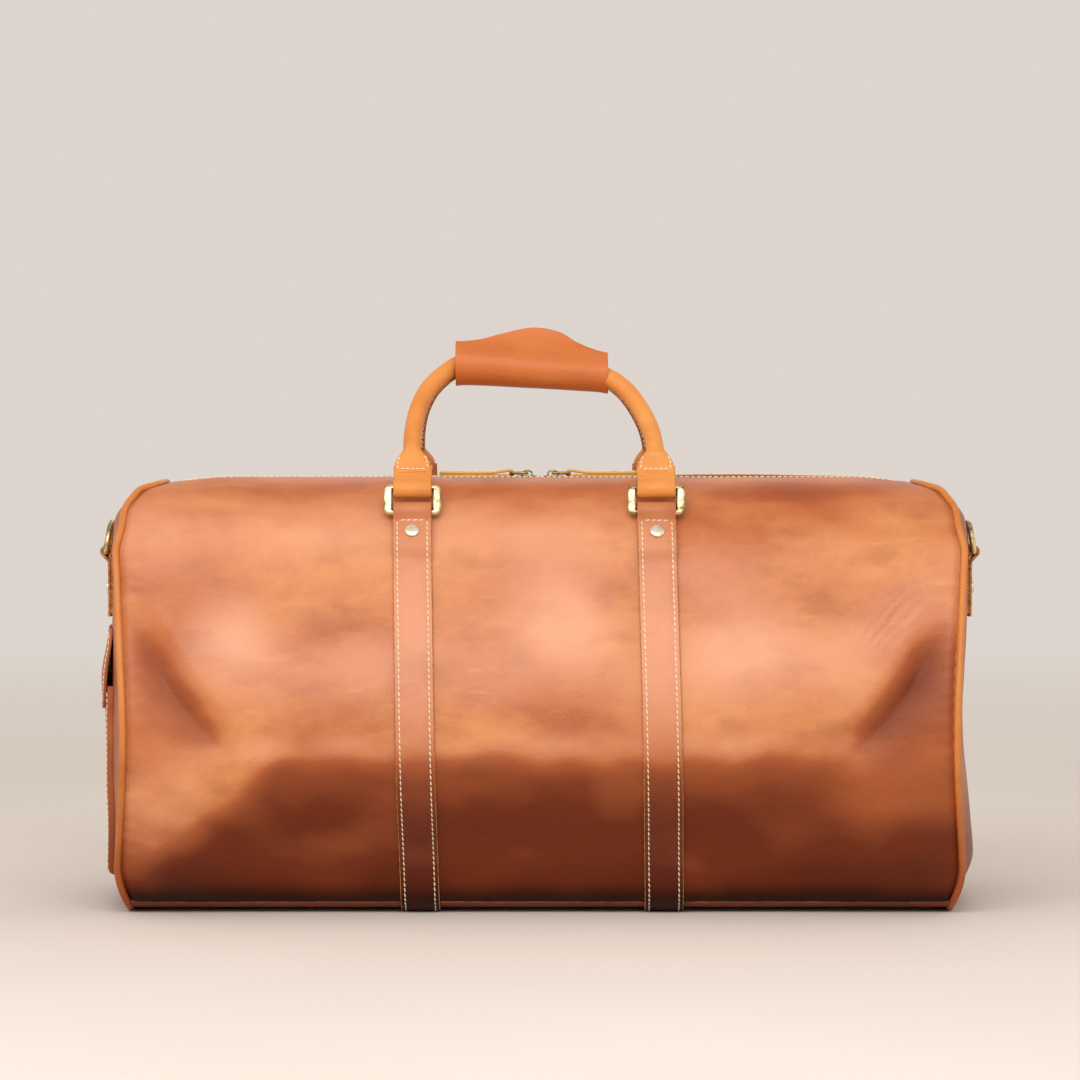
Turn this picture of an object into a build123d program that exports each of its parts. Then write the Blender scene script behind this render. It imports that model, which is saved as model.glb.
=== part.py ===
"""A leather weekender bag, in millimetres: +X along the bag, front face towards -Y, +Z up, floor at Z = 0."""

import math
import os

from build123d import *

# The bag's body
BAG_LENGTH = 562.0  # over the end panels, at the middle of each
END_BULGE = 17.0  # how far the middle of an end panel stands out past its front seam
BAG_HEIGHT = 280.0  # from the floor to the zipper ridge
BELLY_HALF = 129.0  # corner of the section's polygon where the body is widest
BELLY_HEIGHT = 104.0
BELLY_RADIUS = 130.0
BASE_HALF = 82.0  # corner of the section's polygon at the floor
BASE_RADIUS = 25.0
SHOULDER_HALF = 88.0  # corner of the section's polygon where the side turns over
SHOULDER_DROP = 33.0  # how far that corner is below the ridge
SHOULDER_RADIUS = 105.0
RIDGE_HALF = 40.0  # corner of the section's polygon at the top
RIDGE_RADIUS = 60.0
END_LEAN_DROP = 44.0  # below this drop from the ridge the end panels stand upright
END_LEAN_IN = 56.0  # run and rise of the leaning top of an end panel
END_LEAN_UP = 64.0
END_LEAN_RADIUS = 40.0
END_SKIN = 6.0  # how far the leaning profile's upright part stands outside the end panel

# Leather, cloth and board
BODY_LEATHER = 2.0
STRAP_LEATHER = 2.2
TAB_LEATHER = 2.0
WRAP_LEATHER = 1.8
PIPING_INSET = 2.5  # how far the piping reaches into the body from its outer faces
PIPING_PROUD = 1.8  # and how far it stands out of them
LINING_CLOTH = 0.6
LINING_GAP = 0.8
BOARD_THICKNESS = 3.0
BOARD_END_GAP = 14.0  # from the front corners of the end panels to the board
BOARD_GAP = 0.2
WELT_THICKNESS = 1.4
WELT_PROUD = 1.2
WELT_HEIGHT = 5.0  # of the bottom seams, above the body's underside

# Straps, their rings and rivets
STRAP_WIDTH = 25.0
STRAP_SPACING = 157.0
STRAP_TOP_DROP = 29.0  # from the ridge down to the straps' top edges
TAB_OVERLAP = 21.0  # length of a ring tab's tails under its strap
STRAP_STEP = 4.0  # height over which a strap steps out over the tab's tails
LOOP_RADIUS = 6.1  # outside of a leather loop round a ring's bar
LOOP_RISE = 5.0  # from a strap's top edge up to the loop's axis, along the surface
LOOP_CLEAR = 0.4  # from the body to a loop
NECK_ROOT = 4.5  # how deep under a tab's top edge its neck starts
RING_BAR_RADIUS = 2.2
RING_PITCH = 15.0  # between the axes of a ring's two bars
RING_SIDE_WIDTH = 4.8
RING_SIDE_GAP = 0.9  # from a strap's edge to a ring's side bar
RING_THICKNESS = 4.2
RING_LEAN = 20.0  # degrees from upright, towards the zipper
RIVET_DROP = 8.5  # from a strap's top edge to its rivet
RIVET_CAP_RADIUS = 4.7
RIVET_CAP_HEIGHT = 1.8
RIVET_SHANK_RADIUS = 1.5
RIVET_WASHER_RADIUS = 3.8
RIVET_WASHER = 0.4
RIVET_PLAY = 0.05  # between a rivet and the leather it holds
RIVET_SEAT = 0.25  # from the curved flank's inside to a strap rivet's washer
HOLE_DEPTH = 24.0  # deeper than any stack of leather
HOLE_CLEARANCE = 0.1

# Handles
HANDLE_RADIUS = 6.0
CORE_RADIUS = 4.1
CORE_CLEARANCE = 0.1
HANDLE_RISE = 71.0  # of the handles' centreline above the ridge, at the wrap
HANDLE_APART = 9.0  # of each handle's centreline from the middle plane, at the wrap
HANDLE_TILT = 3.3  # degrees by which the closed handles hang lower on the right
CHAPE_THICKNESS = 4.4
CHAPE_LENGTH = 13.0  # from the ring's upper bar to the end of the flat chape
FLARE_LENGTH = 27.0
FOOT_INSET = 0.5  # from a chape's edge to the flare's
SHOULDER_BOW = 1.5  # how far the handles' legs bow out
LEG_HEIGHT = 66.0  # along the handle from the ring to the leg's bend
ARCH_TOP_HALF = 53.0  # half width of the handle's top between its upper bends
LEG_BEND_RADIUS = 60.0
TOP_BEND_RADIUS = 24.0

# Wrap round the two handles
WRAP_LENGTH = 100.5
WRAP_SHIFT = -2.25  # of the wrap's middle from the bag's
WRAP_HALF_DEPTH = 16.0
WRAP_HALF_HEIGHT = 12.8
WRAP_DROP = 1.2  # of its middle below the handles' centrelines
WRAP_SETBACK = -4.0  # of the wrap's middle from the bag's middle plane, along Y
WRAP_LIP = 6.0  # where the wrap's lower lip ends, along Y
FLAP_FOLD = -5.4  # where the flap folds, along Y
FLAP_GAP = 0.3
FLAP_SLOPE = 50.0  # degrees above level
FLAP_REACH = 17.0
FLAP_SIDE_REACH = 4.0
FLAP_MARGIN = 2.0
SNAP_RADIUS = 4.5
SNAP_HEIGHT = 1.2
SNAP_STUD_RADIUS = 2.2
SNAP_EDGE = 2.0  # from the flap's tip to its press stud
FLAP_SWEEP = 2.0  # rise of the flap's edge before it climbs to the tip
FLAP_HOLLOW_RADIUS = 20.0
FLAP_TIP_RADIUS = 14.0
FLAP_END_RADIUS = 2.0

# Zipper
SLOT_HALF = 12.0  # half of the gap between the two top edges of leather
MOUTH_HALF = SLOT_HALF + 2.0  # half of the lining's opening
TAPE_OVERLAP = 7.0  # of each tape under the leather
TAPE_THICKNESS = 0.7
TEETH_HALF = 3.4
TEETH_HEIGHT = 4.4
TEETH_GAP = 1.0  # left down the middle for the sliders' posts
ZIPPER_LENGTH = 486.0
STOP_LENGTH = 4.0
STOP_ROUNDING = 0.8
SLIDER_LENGTH = 14.0
SLIDER_WIDTH = 11.0
SLIDER_PLATE = 1.5
SLIDER_CORNER = 3.0
SLIDER_CLEARANCE = 0.3
SLIDER_PLACE = 8.5  # of each slider's middle from the bag's middle
POST_THICKNESS = 0.5
POST_LENGTH = 7.0
BRIDGE_LENGTH = 8.0
BRIDGE_WIDTH = 3.0
BRIDGE_HEIGHT = 6.4
BRIDGE_BAR = 1.1
BRIDGE_LEG = 1.6
BRIDGE_CORNER = 1.6
PULL_WIRE_RADIUS = 1.0
PULL_RING_LENGTH = 11.0
PULL_RING_HALF = 5.5
PULL_RING_CORNER = 1.2
PULL_TAB_LENGTH = 47.0
PULL_TAB_WIDTH = 11.0
PULL_TAB_THICKNESS = 3.0
PULL_LOOP_RADIUS = 2.5
PULL_NECK = 6.0  # from the ring's far wire to the flat of the tab
PULL_SIDE_GAP = 0.4  # between the tab's eye and the ring's sides
PULL_CORNER = 5.0
PULL_SHOULDER = 4.0
WIRE_CLEARANCE = 0.2

# D-rings on the ends
DRING_DROP = 49.0  # from the ridge down to the D-ring's straight bar
DRING_WIRE_RADIUS = 2.0
DRING_LOOP_RADIUS = 4.4
DRING_HALF = STRAP_WIDTH / 2 + 2.5  # half of the straight bar, to the wire's axis
DRING_LEG = 4.0
DRING_LEAN = 8.0
DRING_TAB_LENGTH = 44.0
DRING_RIVET_DROP = 24.0

# Pocket on the left end
POCKET_WIDTH = 150.0
POCKET_BOTTOM = 24.0
POCKET_TOP = 146.0
POCKET_DEPTH = 2.0
FLAP_WIDTH = 156.0
FLAP_BELOW_TAB = 4.0  # from the end of the D-ring's tab to the flap
FLAP_HEIGHT = 53.0
FLAP_STANDOFF = 0.6
FLAP_ANGLE = 6.0  # degrees by which the flap stands out over the pocket's mouth
FLAP_CORNER = 30.0
POCKET_SNAP_RADIUS = 6.0
POCKET_SNAP_RISE = 14.0  # from the flap's lower edge
POCKET_SNAP_HEIGHT = 1.4

REACH = 400.0  # longer than the bag, for cutting blocks
UNDERSIDE = STRAP_LEATHER  # the body rests on its straps and piping


def slab(x=(-REACH, REACH), y=(-REACH, REACH), z=(-REACH, REACH)):
    """A block between the given limits."""
    spans = (x, y, z)
    centre = [(low + high) / 2 for low, high in spans]
    return Pos(*centre) * Box(*[high - low for low, high in spans])


def rear_of(front):
    """The same piece on the rear of the bag."""
    return front.mirror(Plane.XZ)


# ---------------------------------------------------------------- the body's two surfaces
HALF_SECTION = [
    (BASE_HALF, UNDERSIDE),
    (BELLY_HALF, BELLY_HEIGHT),
    (SHOULDER_HALF, BAG_HEIGHT - SHOULDER_DROP),
    (RIDGE_HALF, BAG_HEIGHT),
]
HALF_RADII = [BASE_RADIUS, BELLY_RADIUS, SHOULDER_RADIUS, RIDGE_RADIUS]
SECTION_CORNERS = HALF_SECTION + [(-y, z) for y, z in reversed(HALF_SECTION)]


def moved_corner(before, corner, after, grow):
    """A polygon's corner once both of its sides have moved outwards by grow."""
    before, corner, after = Vector(*before), Vector(*corner), Vector(*after)
    into = (corner - before).normalized()
    out = (after - corner).normalized()
    mitre = Vector(into.Y + out.Y, -into.X - out.X)
    corner += mitre * (grow / (1 + into.dot(out)))
    return corner.X, corner.Y


def section(grow):
    """The body's section in Y and Z, moved outwards by grow."""
    around = SECTION_CORNERS[-1:] + SECTION_CORNERS + SECTION_CORNERS[:1]
    corners = [moved_corner(*three, grow) for three in zip(around, around[1:], around[2:])]
    radii = [radius + grow for radius in HALF_RADII + HALF_RADII[::-1]]
    return make_face(FilletPolyline(*corners, radius=radii, close=True))


SECTION = section(0)
SEAM_HALF = BELLY_HALF - 4.0  # about where the belly's face lies, for the end's curve
END_RADIUS = (SEAM_HALF**2 + END_BULGE**2) / (2 * END_BULGE)
END_CENTRE = END_RADIUS - BAG_LENGTH / 2
LEAN_HALF = BAG_LENGTH / 2 + END_SKIN
LEAN_HEIGHT = BAG_HEIGHT - END_LEAN_DROP


def body_block(grow):
    """Everything inside the wrap of front, bottom and rear, moved outwards by grow."""
    return extrude(Plane.YZ * section(grow), amount=REACH, both=True)


def end_block(grow):
    """Everything between the two end panels' outer faces, moved outwards by grow."""
    disc = Circle(END_RADIUS + grow)
    lens = Pos(-END_CENTRE, 0) * disc & Pos(END_CENTRE, 0) * disc
    bulged = extrude(lens, amount=REACH, both=True)
    corner = (LEAN_HALF, LEAN_HEIGHT)
    peak = (LEAN_HALF - END_LEAN_IN, LEAN_HEIGHT + END_LEAN_UP)
    leaning = FilletPolyline(
        (LEAN_HALF, -REACH / 2),
        corner,
        peak,
        (-peak[0], peak[1]),
        (-corner[0], corner[1]),
        (-LEAN_HALF, -REACH / 2),
        radius=[0, END_LEAN_RADIUS, 0, 0, END_LEAN_RADIUS, 0],
        close=True,
    )
    face = make_face(leaning)
    if grow:
        face = offset(face, amount=grow, kind=Kind.INTERSECTION)
    return bulged & extrude(Plane.XZ * face, amount=REACH, both=True)


BODY = body_block(0)
ENDS = end_block(0)


def flank(z):
    """Where the front flank is at height z: its Y, and the unit (Y, Z) steps up along it and out from it."""

    def y_at(height):
        cut = SECTION & Line((-REACH, height), (REACH, height))
        return cut.bounding_box().min.X

    rise = Vector(y_at(z + 0.5) - y_at(z - 0.5), 1.0).normalized()
    return y_at(z), (rise.X, rise.Y), (-rise.Y, rise.X)


# ---------------------------------------------------------------- the leather wrap, ends and piping
SEAM_Z = UNDERSIDE + WELT_HEIGHT


def make_panels():
    """Front, rear and bottom panels of the wrap, with the slot for the zipper."""
    skin = (BODY - body_block(-BODY_LEATHER)) & end_block(-PIPING_INSET)
    skin -= slab(y=(-SLOT_HALF, SLOT_HALF), z=(BAG_HEIGHT / 2, REACH))
    front = skin & slab(y=(-REACH, 0), z=(SEAM_Z + WELT_THICKNESS / 2, REACH))
    bottom = skin & slab(z=(-REACH, SEAM_Z - WELT_THICKNESS / 2))
    return front, bottom


def make_welt(straps):
    """The raw-edged strip sewn into the front bottom seam, flush where the straps cross it."""
    ring = body_block(WELT_PROUD) - body_block(-BODY_LEATHER)
    strip = ring & slab(
        y=(-REACH, 0), z=(SEAM_Z - WELT_THICKNESS / 2, SEAM_Z + WELT_THICKNESS / 2)
    )
    return (strip & end_block(-PIPING_INSET)) - straps


def make_ends():
    """The right end panel and its piping, which the wrap and the end butt against."""
    panel = (ENDS - end_block(-BODY_LEATHER)) & body_block(-PIPING_INSET)
    ring = body_block(PIPING_PROUD) - body_block(-PIPING_INSET)
    piping = ring & (end_block(PIPING_PROUD) - end_block(-PIPING_INSET))
    right = slab(x=(0, REACH))
    return panel & right, piping & right


def make_lining():
    """The cloth bag inside, open under the zipper, and the board under its floor."""
    board_z = UNDERSIDE + BODY_LEATHER + BOARD_GAP
    board_half = BAG_LENGTH / 2 - END_BULGE - BOARD_END_GAP
    board = slab(
        x=(-board_half, board_half),
        y=(-BASE_HALF + BASE_RADIUS, BASE_HALF - BASE_RADIUS),
        z=(board_z, board_z + BOARD_THICKNESS),
    )
    floor_z = board_z + BOARD_THICKNESS + BOARD_GAP
    outer_inset = BODY_LEATHER + LINING_GAP
    inner_inset = outer_inset + LINING_CLOTH
    outer = body_block(-outer_inset) & end_block(-outer_inset) & slab(z=(floor_z, REACH))
    inner = body_block(-inner_inset) & end_block(-inner_inset)
    inner &= slab(z=(floor_z + LINING_CLOTH, REACH))
    mouth = slab(y=(-MOUTH_HALF, MOUTH_HALF), z=(BAG_HEIGHT / 2, REACH))
    return outer - inner - mouth, board


# ---------------------------------------------------------------- straps, tabs, rings and rivets
STRAP_TOP = BAG_HEIGHT - STRAP_TOP_DROP
TAB_TAILS = 2 * TAB_LEATHER
TAB_END = STRAP_TOP - TAB_OVERLAP
TOP_Y, TOP_RISE, TOP_OUT = flank(STRAP_TOP)
LOOP_OUT = LOOP_RADIUS + LOOP_CLEAR
LOWER_AXIS = (
    TOP_Y + TOP_RISE[0] * LOOP_RISE + TOP_OUT[0] * LOOP_OUT,
    STRAP_TOP + TOP_RISE[1] * LOOP_RISE + TOP_OUT[1] * LOOP_OUT,
)
RING_UP = (math.sin(math.radians(RING_LEAN)), math.cos(math.radians(RING_LEAN)))
UPPER_AXIS = (
    LOWER_AXIS[0] + RING_UP[0] * RING_PITCH,
    LOWER_AXIS[1] + RING_UP[1] * RING_PITCH,
)
RIVET_Z = STRAP_TOP - RIVET_DROP


def band(inner, outer, low, high):
    """A strap-wide band round the body between two offsets and two heights."""
    ring = body_block(outer) - (body_block(inner) if inner else BODY)
    half = STRAP_WIDTH / 2
    return ring & slab(x=(-half, half), z=(low, high))


def rivet_frame():
    """On the front flank at the rivet, with its Z pointing out of the leather."""
    y, _, out = flank(RIVET_Z)
    return Plane(origin=(0, y, RIVET_Z), x_dir=(1, 0, 0), z_dir=(0, *out))


def rivet(frame, depth, stack):
    """A cap rivet from depth behind the frame's plane to a cap on top of the stack."""
    shank = Pos(0, 0, (stack - depth) / 2) * Cylinder(RIVET_SHANK_RADIUS, stack + depth)
    cap = Pos(0, 0, stack + RIVET_CAP_HEIGHT / 2) * Cylinder(
        RIVET_CAP_RADIUS, RIVET_CAP_HEIGHT
    )
    cap = fillet(cap.edges().group_by(Axis.Z)[-1], RIVET_CAP_HEIGHT * 0.85)
    washer = Pos(0, 0, -depth - RIVET_WASHER / 2) * Cylinder(
        RIVET_WASHER_RADIUS, RIVET_WASHER
    )
    return frame * (shank + cap + washer)


def rivet_hole(frame):
    """The hole that a rivet's shank needs through everything near its frame."""
    return frame * Cylinder(RIVET_SHANK_RADIUS + HOLE_CLEARANCE, HOLE_DEPTH)


def make_strap():
    """One strap at x = 0, from the front ring tab, under the bag, to the rear one."""
    outer = TAB_TAILS + STRAP_LEATHER
    strap = band(0, STRAP_LEATHER, -REACH, TAB_END)
    strap += band(0, outer, TAB_END - STRAP_STEP, TAB_END)
    strap += band(TAB_TAILS, outer, TAB_END, STRAP_TOP)
    return strap


def drop_face(axis, radius, tail_from, tail_out, thickness):
    """Section of a folded loop: an eye round axis whose two layers close onto a tail, in Y and Z."""
    along = Vector(axis[0] - tail_from[0], axis[1] - tail_from[1]).normalized()
    across = Vector(-along.Y, along.X)
    if across.X * tail_out[0] + across.Y * tail_out[1] < 0:
        across = -across
    start = Vector(*tail_from)
    eye = Vector(*axis)
    near = start + across * thickness / 2
    far = start - across * thickness / 2
    neck = make_face(
        Polyline(near, eye + across * radius, eye - across * radius, far, close=True)
    )
    return neck + Pos(*axis) * Circle(radius)


def make_tab(strap, hole):
    """A front ring tab at x = 0: tails under the strap, and a loop round the ring's lower bar."""
    half = STRAP_WIDTH / 2
    tails = band(0, TAB_TAILS, TAB_END, STRAP_TOP)
    tails &= slab(y=(-REACH, 0))
    middle = (
        TOP_Y + TOP_OUT[0] * TAB_TAILS / 2 - TOP_RISE[0] * NECK_ROOT,
        STRAP_TOP + TOP_OUT[1] * TAB_TAILS / 2 - TOP_RISE[1] * NECK_ROOT,
    )
    face = drop_face(LOWER_AXIS, LOOP_RADIUS, middle, TOP_OUT, TAB_TAILS)
    face -= Pos(*LOWER_AXIS) * Circle(LOOP_RADIUS - TAB_LEATHER)
    loop = extrude(Plane.YZ * face, amount=half, both=True)
    return (tails + loop) - strap - BODY - hole


def make_ring():
    """A front ring at x = 0: two round bars between flat rounded sides."""
    middle = [(a + b) / 2 for a, b in zip(LOWER_AXIS, UPPER_AXIS)]
    frame = Plane(
        origin=(0, *middle), x_dir=(1, 0, 0), z_dir=(0, -RING_UP[1], RING_UP[0])
    )
    height = RING_PITCH + RING_SIDE_WIDTH
    side_x = STRAP_WIDTH / 2 + RING_SIDE_GAP + RING_SIDE_WIDTH / 2
    side = extrude(
        RectangleRounded(RING_SIDE_WIDTH, height, RING_SIDE_WIDTH * 0.46),
        amount=RING_THICKNESS / 2,
        both=True,
    )
    side = fillet(side.edges().filter_by(Plane.XY), RING_THICKNESS * 0.25)
    bar = Rot(Y=90) * Cylinder(RING_BAR_RADIUS, 2 * side_x)
    ring = Pos(side_x, 0, 0) * side + Pos(-side_x, 0, 0) * side
    for step in (-RING_PITCH / 2, RING_PITCH / 2):
        ring += Pos(0, step, 0) * bar
    return frame * ring


# ---------------------------------------------------------------- handles
HANDLE_TOP = BAG_HEIGHT + HANDLE_RISE
HANDLE_RUN = -HANDLE_APART - UPPER_AXIS[0]
HANDLE_CLIMB = HANDLE_TOP - UPPER_AXIS[1]
HANDLE_LENGTH = math.hypot(HANDLE_RUN, HANDLE_CLIMB)
HANDLE_UP = (HANDLE_RUN / HANDLE_LENGTH, HANDLE_CLIMB / HANDLE_LENGTH)
HANDLE_FRAME = Plane(
    origin=(0, *UPPER_AXIS), x_dir=(1, 0, 0), z_dir=(0, -HANDLE_UP[1], HANDLE_UP[0])
)
TILT_SLOPE = math.tan(math.radians(HANDLE_TILT)) / HANDLE_UP[1]


def make_handle():
    """The front handle: rolled cover with flared ends, rope core, and two chapes on the rings."""
    leg = STRAP_SPACING / 2
    start = CHAPE_LENGTH + FLARE_LENGTH
    tilt = ARCH_TOP_HALF * TILT_SLOPE
    arch = FilletPolyline(
        (-leg, start),
        (-leg - SHOULDER_BOW, LEG_HEIGHT),
        (-ARCH_TOP_HALF, HANDLE_LENGTH + tilt),
        (ARCH_TOP_HALF, HANDLE_LENGTH - tilt),
        (leg - SHOULDER_BOW, LEG_HEIGHT - tilt),
        (leg, start),
        radius=[LEG_BEND_RADIUS, TOP_BEND_RADIUS, TOP_BEND_RADIUS, LEG_BEND_RADIUS],
    )
    begin = Plane(origin=arch @ 0, z_dir=arch % 0)
    tube = sweep(begin * Circle(HANDLE_RADIUS), path=arch)
    bore = sweep(begin * Circle(CORE_RADIUS + CORE_CLEARANCE), path=arch)
    core = sweep(begin * Circle(CORE_RADIUS), path=arch)
    cover = tube - bore
    foot = RectangleRounded(STRAP_WIDTH - 2 * FOOT_INSET, CHAPE_THICKNESS, CHAPE_THICKNESS * 0.45)
    chapes = []
    for end, side in ((0, -1), (1, 1)):
        top = Plane(origin=arch @ end, x_dir=(1, 0, 0), z_dir=(arch % end) * -side)
        base = Plane(origin=(side * leg, CHAPE_LENGTH, 0), x_dir=(1, 0, 0), z_dir=(0, 1, 0))
        cover += loft([base * foot, top * Circle(HANDLE_RADIUS)])
        chapes.append(make_chape(side * leg))
    return HANDLE_FRAME * cover, HANDLE_FRAME * core, chapes


def make_chape(x):
    """A folded strap end at x: an eye round the ring's upper bar and two flat layers up to the flare."""
    end = (
        UPPER_AXIS[0] + HANDLE_UP[0] * CHAPE_LENGTH,
        UPPER_AXIS[1] + HANDLE_UP[1] * CHAPE_LENGTH,
    )
    face = drop_face(UPPER_AXIS, LOOP_RADIUS, end, TOP_OUT, CHAPE_THICKNESS)
    face -= Pos(*UPPER_AXIS) * Circle(LOOP_RADIUS - TAB_LEATHER)
    return Pos(x, 0, 0) * extrude(Plane.YZ * face, amount=STRAP_WIDTH / 2, both=True)


# ---------------------------------------------------------------- the wrap round the handles
WRAP_MIDDLE_Z = HANDLE_TOP - WRAP_DROP
WRAP_PIVOT = Pos(WRAP_SHIFT, 0, WRAP_MIDDLE_Z)
WRAP_TILT = WRAP_PIVOT * Rot(Y=HANDLE_TILT) * WRAP_PIVOT.inverse()
FOLD_RISE = (WRAP_HALF_HEIGHT - WRAP_LEATHER / 2) * math.sqrt(
    1 - ((FLAP_FOLD - WRAP_SETBACK) / (WRAP_HALF_DEPTH - WRAP_LEATHER / 2)) ** 2
)
FOLD_Z = WRAP_MIDDLE_Z + FOLD_RISE


def make_wrap():
    """The leather sleeve round the front of both handles, open at the rear, and its lower press stud."""
    outer = Ellipse(WRAP_HALF_DEPTH, WRAP_HALF_HEIGHT)
    inner = Ellipse(WRAP_HALF_DEPTH - WRAP_LEATHER, WRAP_HALF_HEIGHT - WRAP_LEATHER)
    ring = Pos(WRAP_SETBACK, WRAP_MIDDLE_Z) * (outer - inner)
    sleeve = extrude(Plane.YZ * ring, amount=WRAP_LENGTH / 2, both=True)
    sleeve = Pos(WRAP_SHIFT, 0, 0) * sleeve
    sleeve -= slab(y=(WRAP_LIP, REACH), z=(0, WRAP_MIDDLE_Z))
    upper_end = FLAP_FOLD - WRAP_LEATHER / 2 - FLAP_GAP
    sleeve -= slab(y=(upper_end, REACH), z=(WRAP_MIDDLE_Z, REACH))
    return sleeve


def flap_outline():
    """The flap's ogee edge, from its fold at y = 0 out to its middle."""
    half = WRAP_LENGTH / 2 - FLAP_MARGIN
    side = FLAP_SIDE_REACH
    top = FLAP_REACH
    radii = [FLAP_END_RADIUS, FLAP_HOLLOW_RADIUS, FLAP_TIP_RADIUS]
    return FilletPolyline(
        (-half, 0),
        (-half, side),
        (-half * 0.5, side + FLAP_SWEEP),
        (-half * 0.24, top),
        (half * 0.24, top),
        (half * 0.5, side + FLAP_SWEEP),
        (half, side),
        (half, 0),
        radius=radii + radii[::-1],
    )


def make_wrap_flap():
    """The flap with its press-stud cap, standing up and back from the fold."""
    outline = flap_outline()
    face = make_face([*outline.edges(), Line(outline @ 1, outline @ 0)])
    plate = extrude(face, amount=WRAP_LEATHER / 2, both=True)
    fold_half = WRAP_LENGTH / 2 - FLAP_MARGIN
    plate += Rot(Y=90) * Cylinder(WRAP_LEATHER / 2, 2 * fold_half)
    slope = math.radians(FLAP_SLOPE)
    frame = Plane(
        origin=(WRAP_SHIFT, FLAP_FOLD, FOLD_Z),
        x_dir=(1, 0, 0),
        z_dir=(0, -math.sin(slope), math.cos(slope)),
    )
    snap_y = FLAP_REACH - SNAP_RADIUS - SNAP_EDGE
    cap = Pos(0, snap_y, WRAP_LEATHER / 2 + SNAP_HEIGHT / 2) * Cylinder(
        SNAP_RADIUS, SNAP_HEIGHT
    )
    cap = fillet(cap.edges().group_by(Axis.Z)[-1], SNAP_HEIGHT * 0.7)
    socket = Pos(0, snap_y, -WRAP_LEATHER / 2 - SNAP_HEIGHT / 2) * Cylinder(
        SNAP_RADIUS * 0.8, SNAP_HEIGHT
    )
    post = Pos(0, snap_y, 0) * Cylinder(SNAP_STUD_RADIUS, 2 * SNAP_HEIGHT + WRAP_LEATHER)
    snap = cap + socket + post
    plate -= Pos(0, snap_y, 0) * Cylinder(SNAP_STUD_RADIUS + HOLE_CLEARANCE, HOLE_DEPTH)
    return WRAP_TILT * (frame * plate), WRAP_TILT * (frame * snap)


# ---------------------------------------------------------------- zipper
TAPE_TOP = BAG_HEIGHT - BODY_LEATHER
TEETH_MIDDLE = TAPE_TOP - TAPE_THICKNESS / 2
TEETH_LOW = TEETH_MIDDLE - TEETH_HEIGHT / 2
TEETH_HIGH = TEETH_MIDDLE + TEETH_HEIGHT / 2
PLATE_TOP = TEETH_HIGH + SLIDER_CLEARANCE + SLIDER_PLATE
PULL_AXIS_Z = PLATE_TOP + (BRIDGE_HEIGHT - BRIDGE_BAR) / 2


def make_zipper():
    """The front tape and row of teeth; the rear ones mirror them. The stops close both ends."""
    half = ZIPPER_LENGTH / 2
    tape = slab(
        x=(-half, half),
        y=(-SLOT_HALF - TAPE_OVERLAP, -TEETH_HALF),
        z=(TAPE_TOP - TAPE_THICKNESS, TAPE_TOP),
    )
    teeth = slab(
        x=(-half + STOP_LENGTH, half - STOP_LENGTH),
        y=(-TEETH_HALF, -TEETH_GAP / 2),
        z=(TEETH_LOW, TEETH_HIGH),
    )
    stops = []
    for low in (-half, half - STOP_LENGTH):
        stop = slab(
            x=(low, low + STOP_LENGTH), y=(-TEETH_HALF, TEETH_HALF), z=(TEETH_LOW, TEETH_HIGH)
        )
        stops.append(fillet(stop.edges().filter_by(Axis.X), STOP_ROUNDING))
    return tape, teeth, Compound(children=stops)


def make_slider():
    """A slider at x = 0: plates above and below the teeth, joined by a thin post, with a bridge on top."""
    plate = extrude(RectangleRounded(SLIDER_LENGTH, SLIDER_WIDTH, SLIDER_CORNER), SLIDER_PLATE)
    top = Pos(0, 0, PLATE_TOP - SLIDER_PLATE) * plate
    low = TEETH_LOW - SLIDER_CLEARANCE - SLIDER_PLATE
    bottom = Pos(0, 0, low) * plate
    post = slab(
        x=(-POST_LENGTH / 2, POST_LENGTH / 2),
        y=(-POST_THICKNESS / 2, POST_THICKNESS / 2),
        z=(low + SLIDER_PLATE / 2, PLATE_TOP - SLIDER_PLATE / 2),
    )
    half = BRIDGE_LENGTH / 2
    width = (-BRIDGE_WIDTH / 2, BRIDGE_WIDTH / 2)
    bridge = slab(x=(-half, half), y=width, z=(PLATE_TOP - 0.5, PLATE_TOP + BRIDGE_HEIGHT))
    bridge = fillet(bridge.edges().filter_by(Axis.Y).group_by(Axis.Z)[-1], BRIDGE_CORNER)
    bridge -= slab(
        x=(-half + BRIDGE_LEG, half - BRIDGE_LEG), z=(PLATE_TOP, PLATE_TOP + BRIDGE_HEIGHT - BRIDGE_BAR)
    )
    return top + bottom + post + bridge


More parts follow.
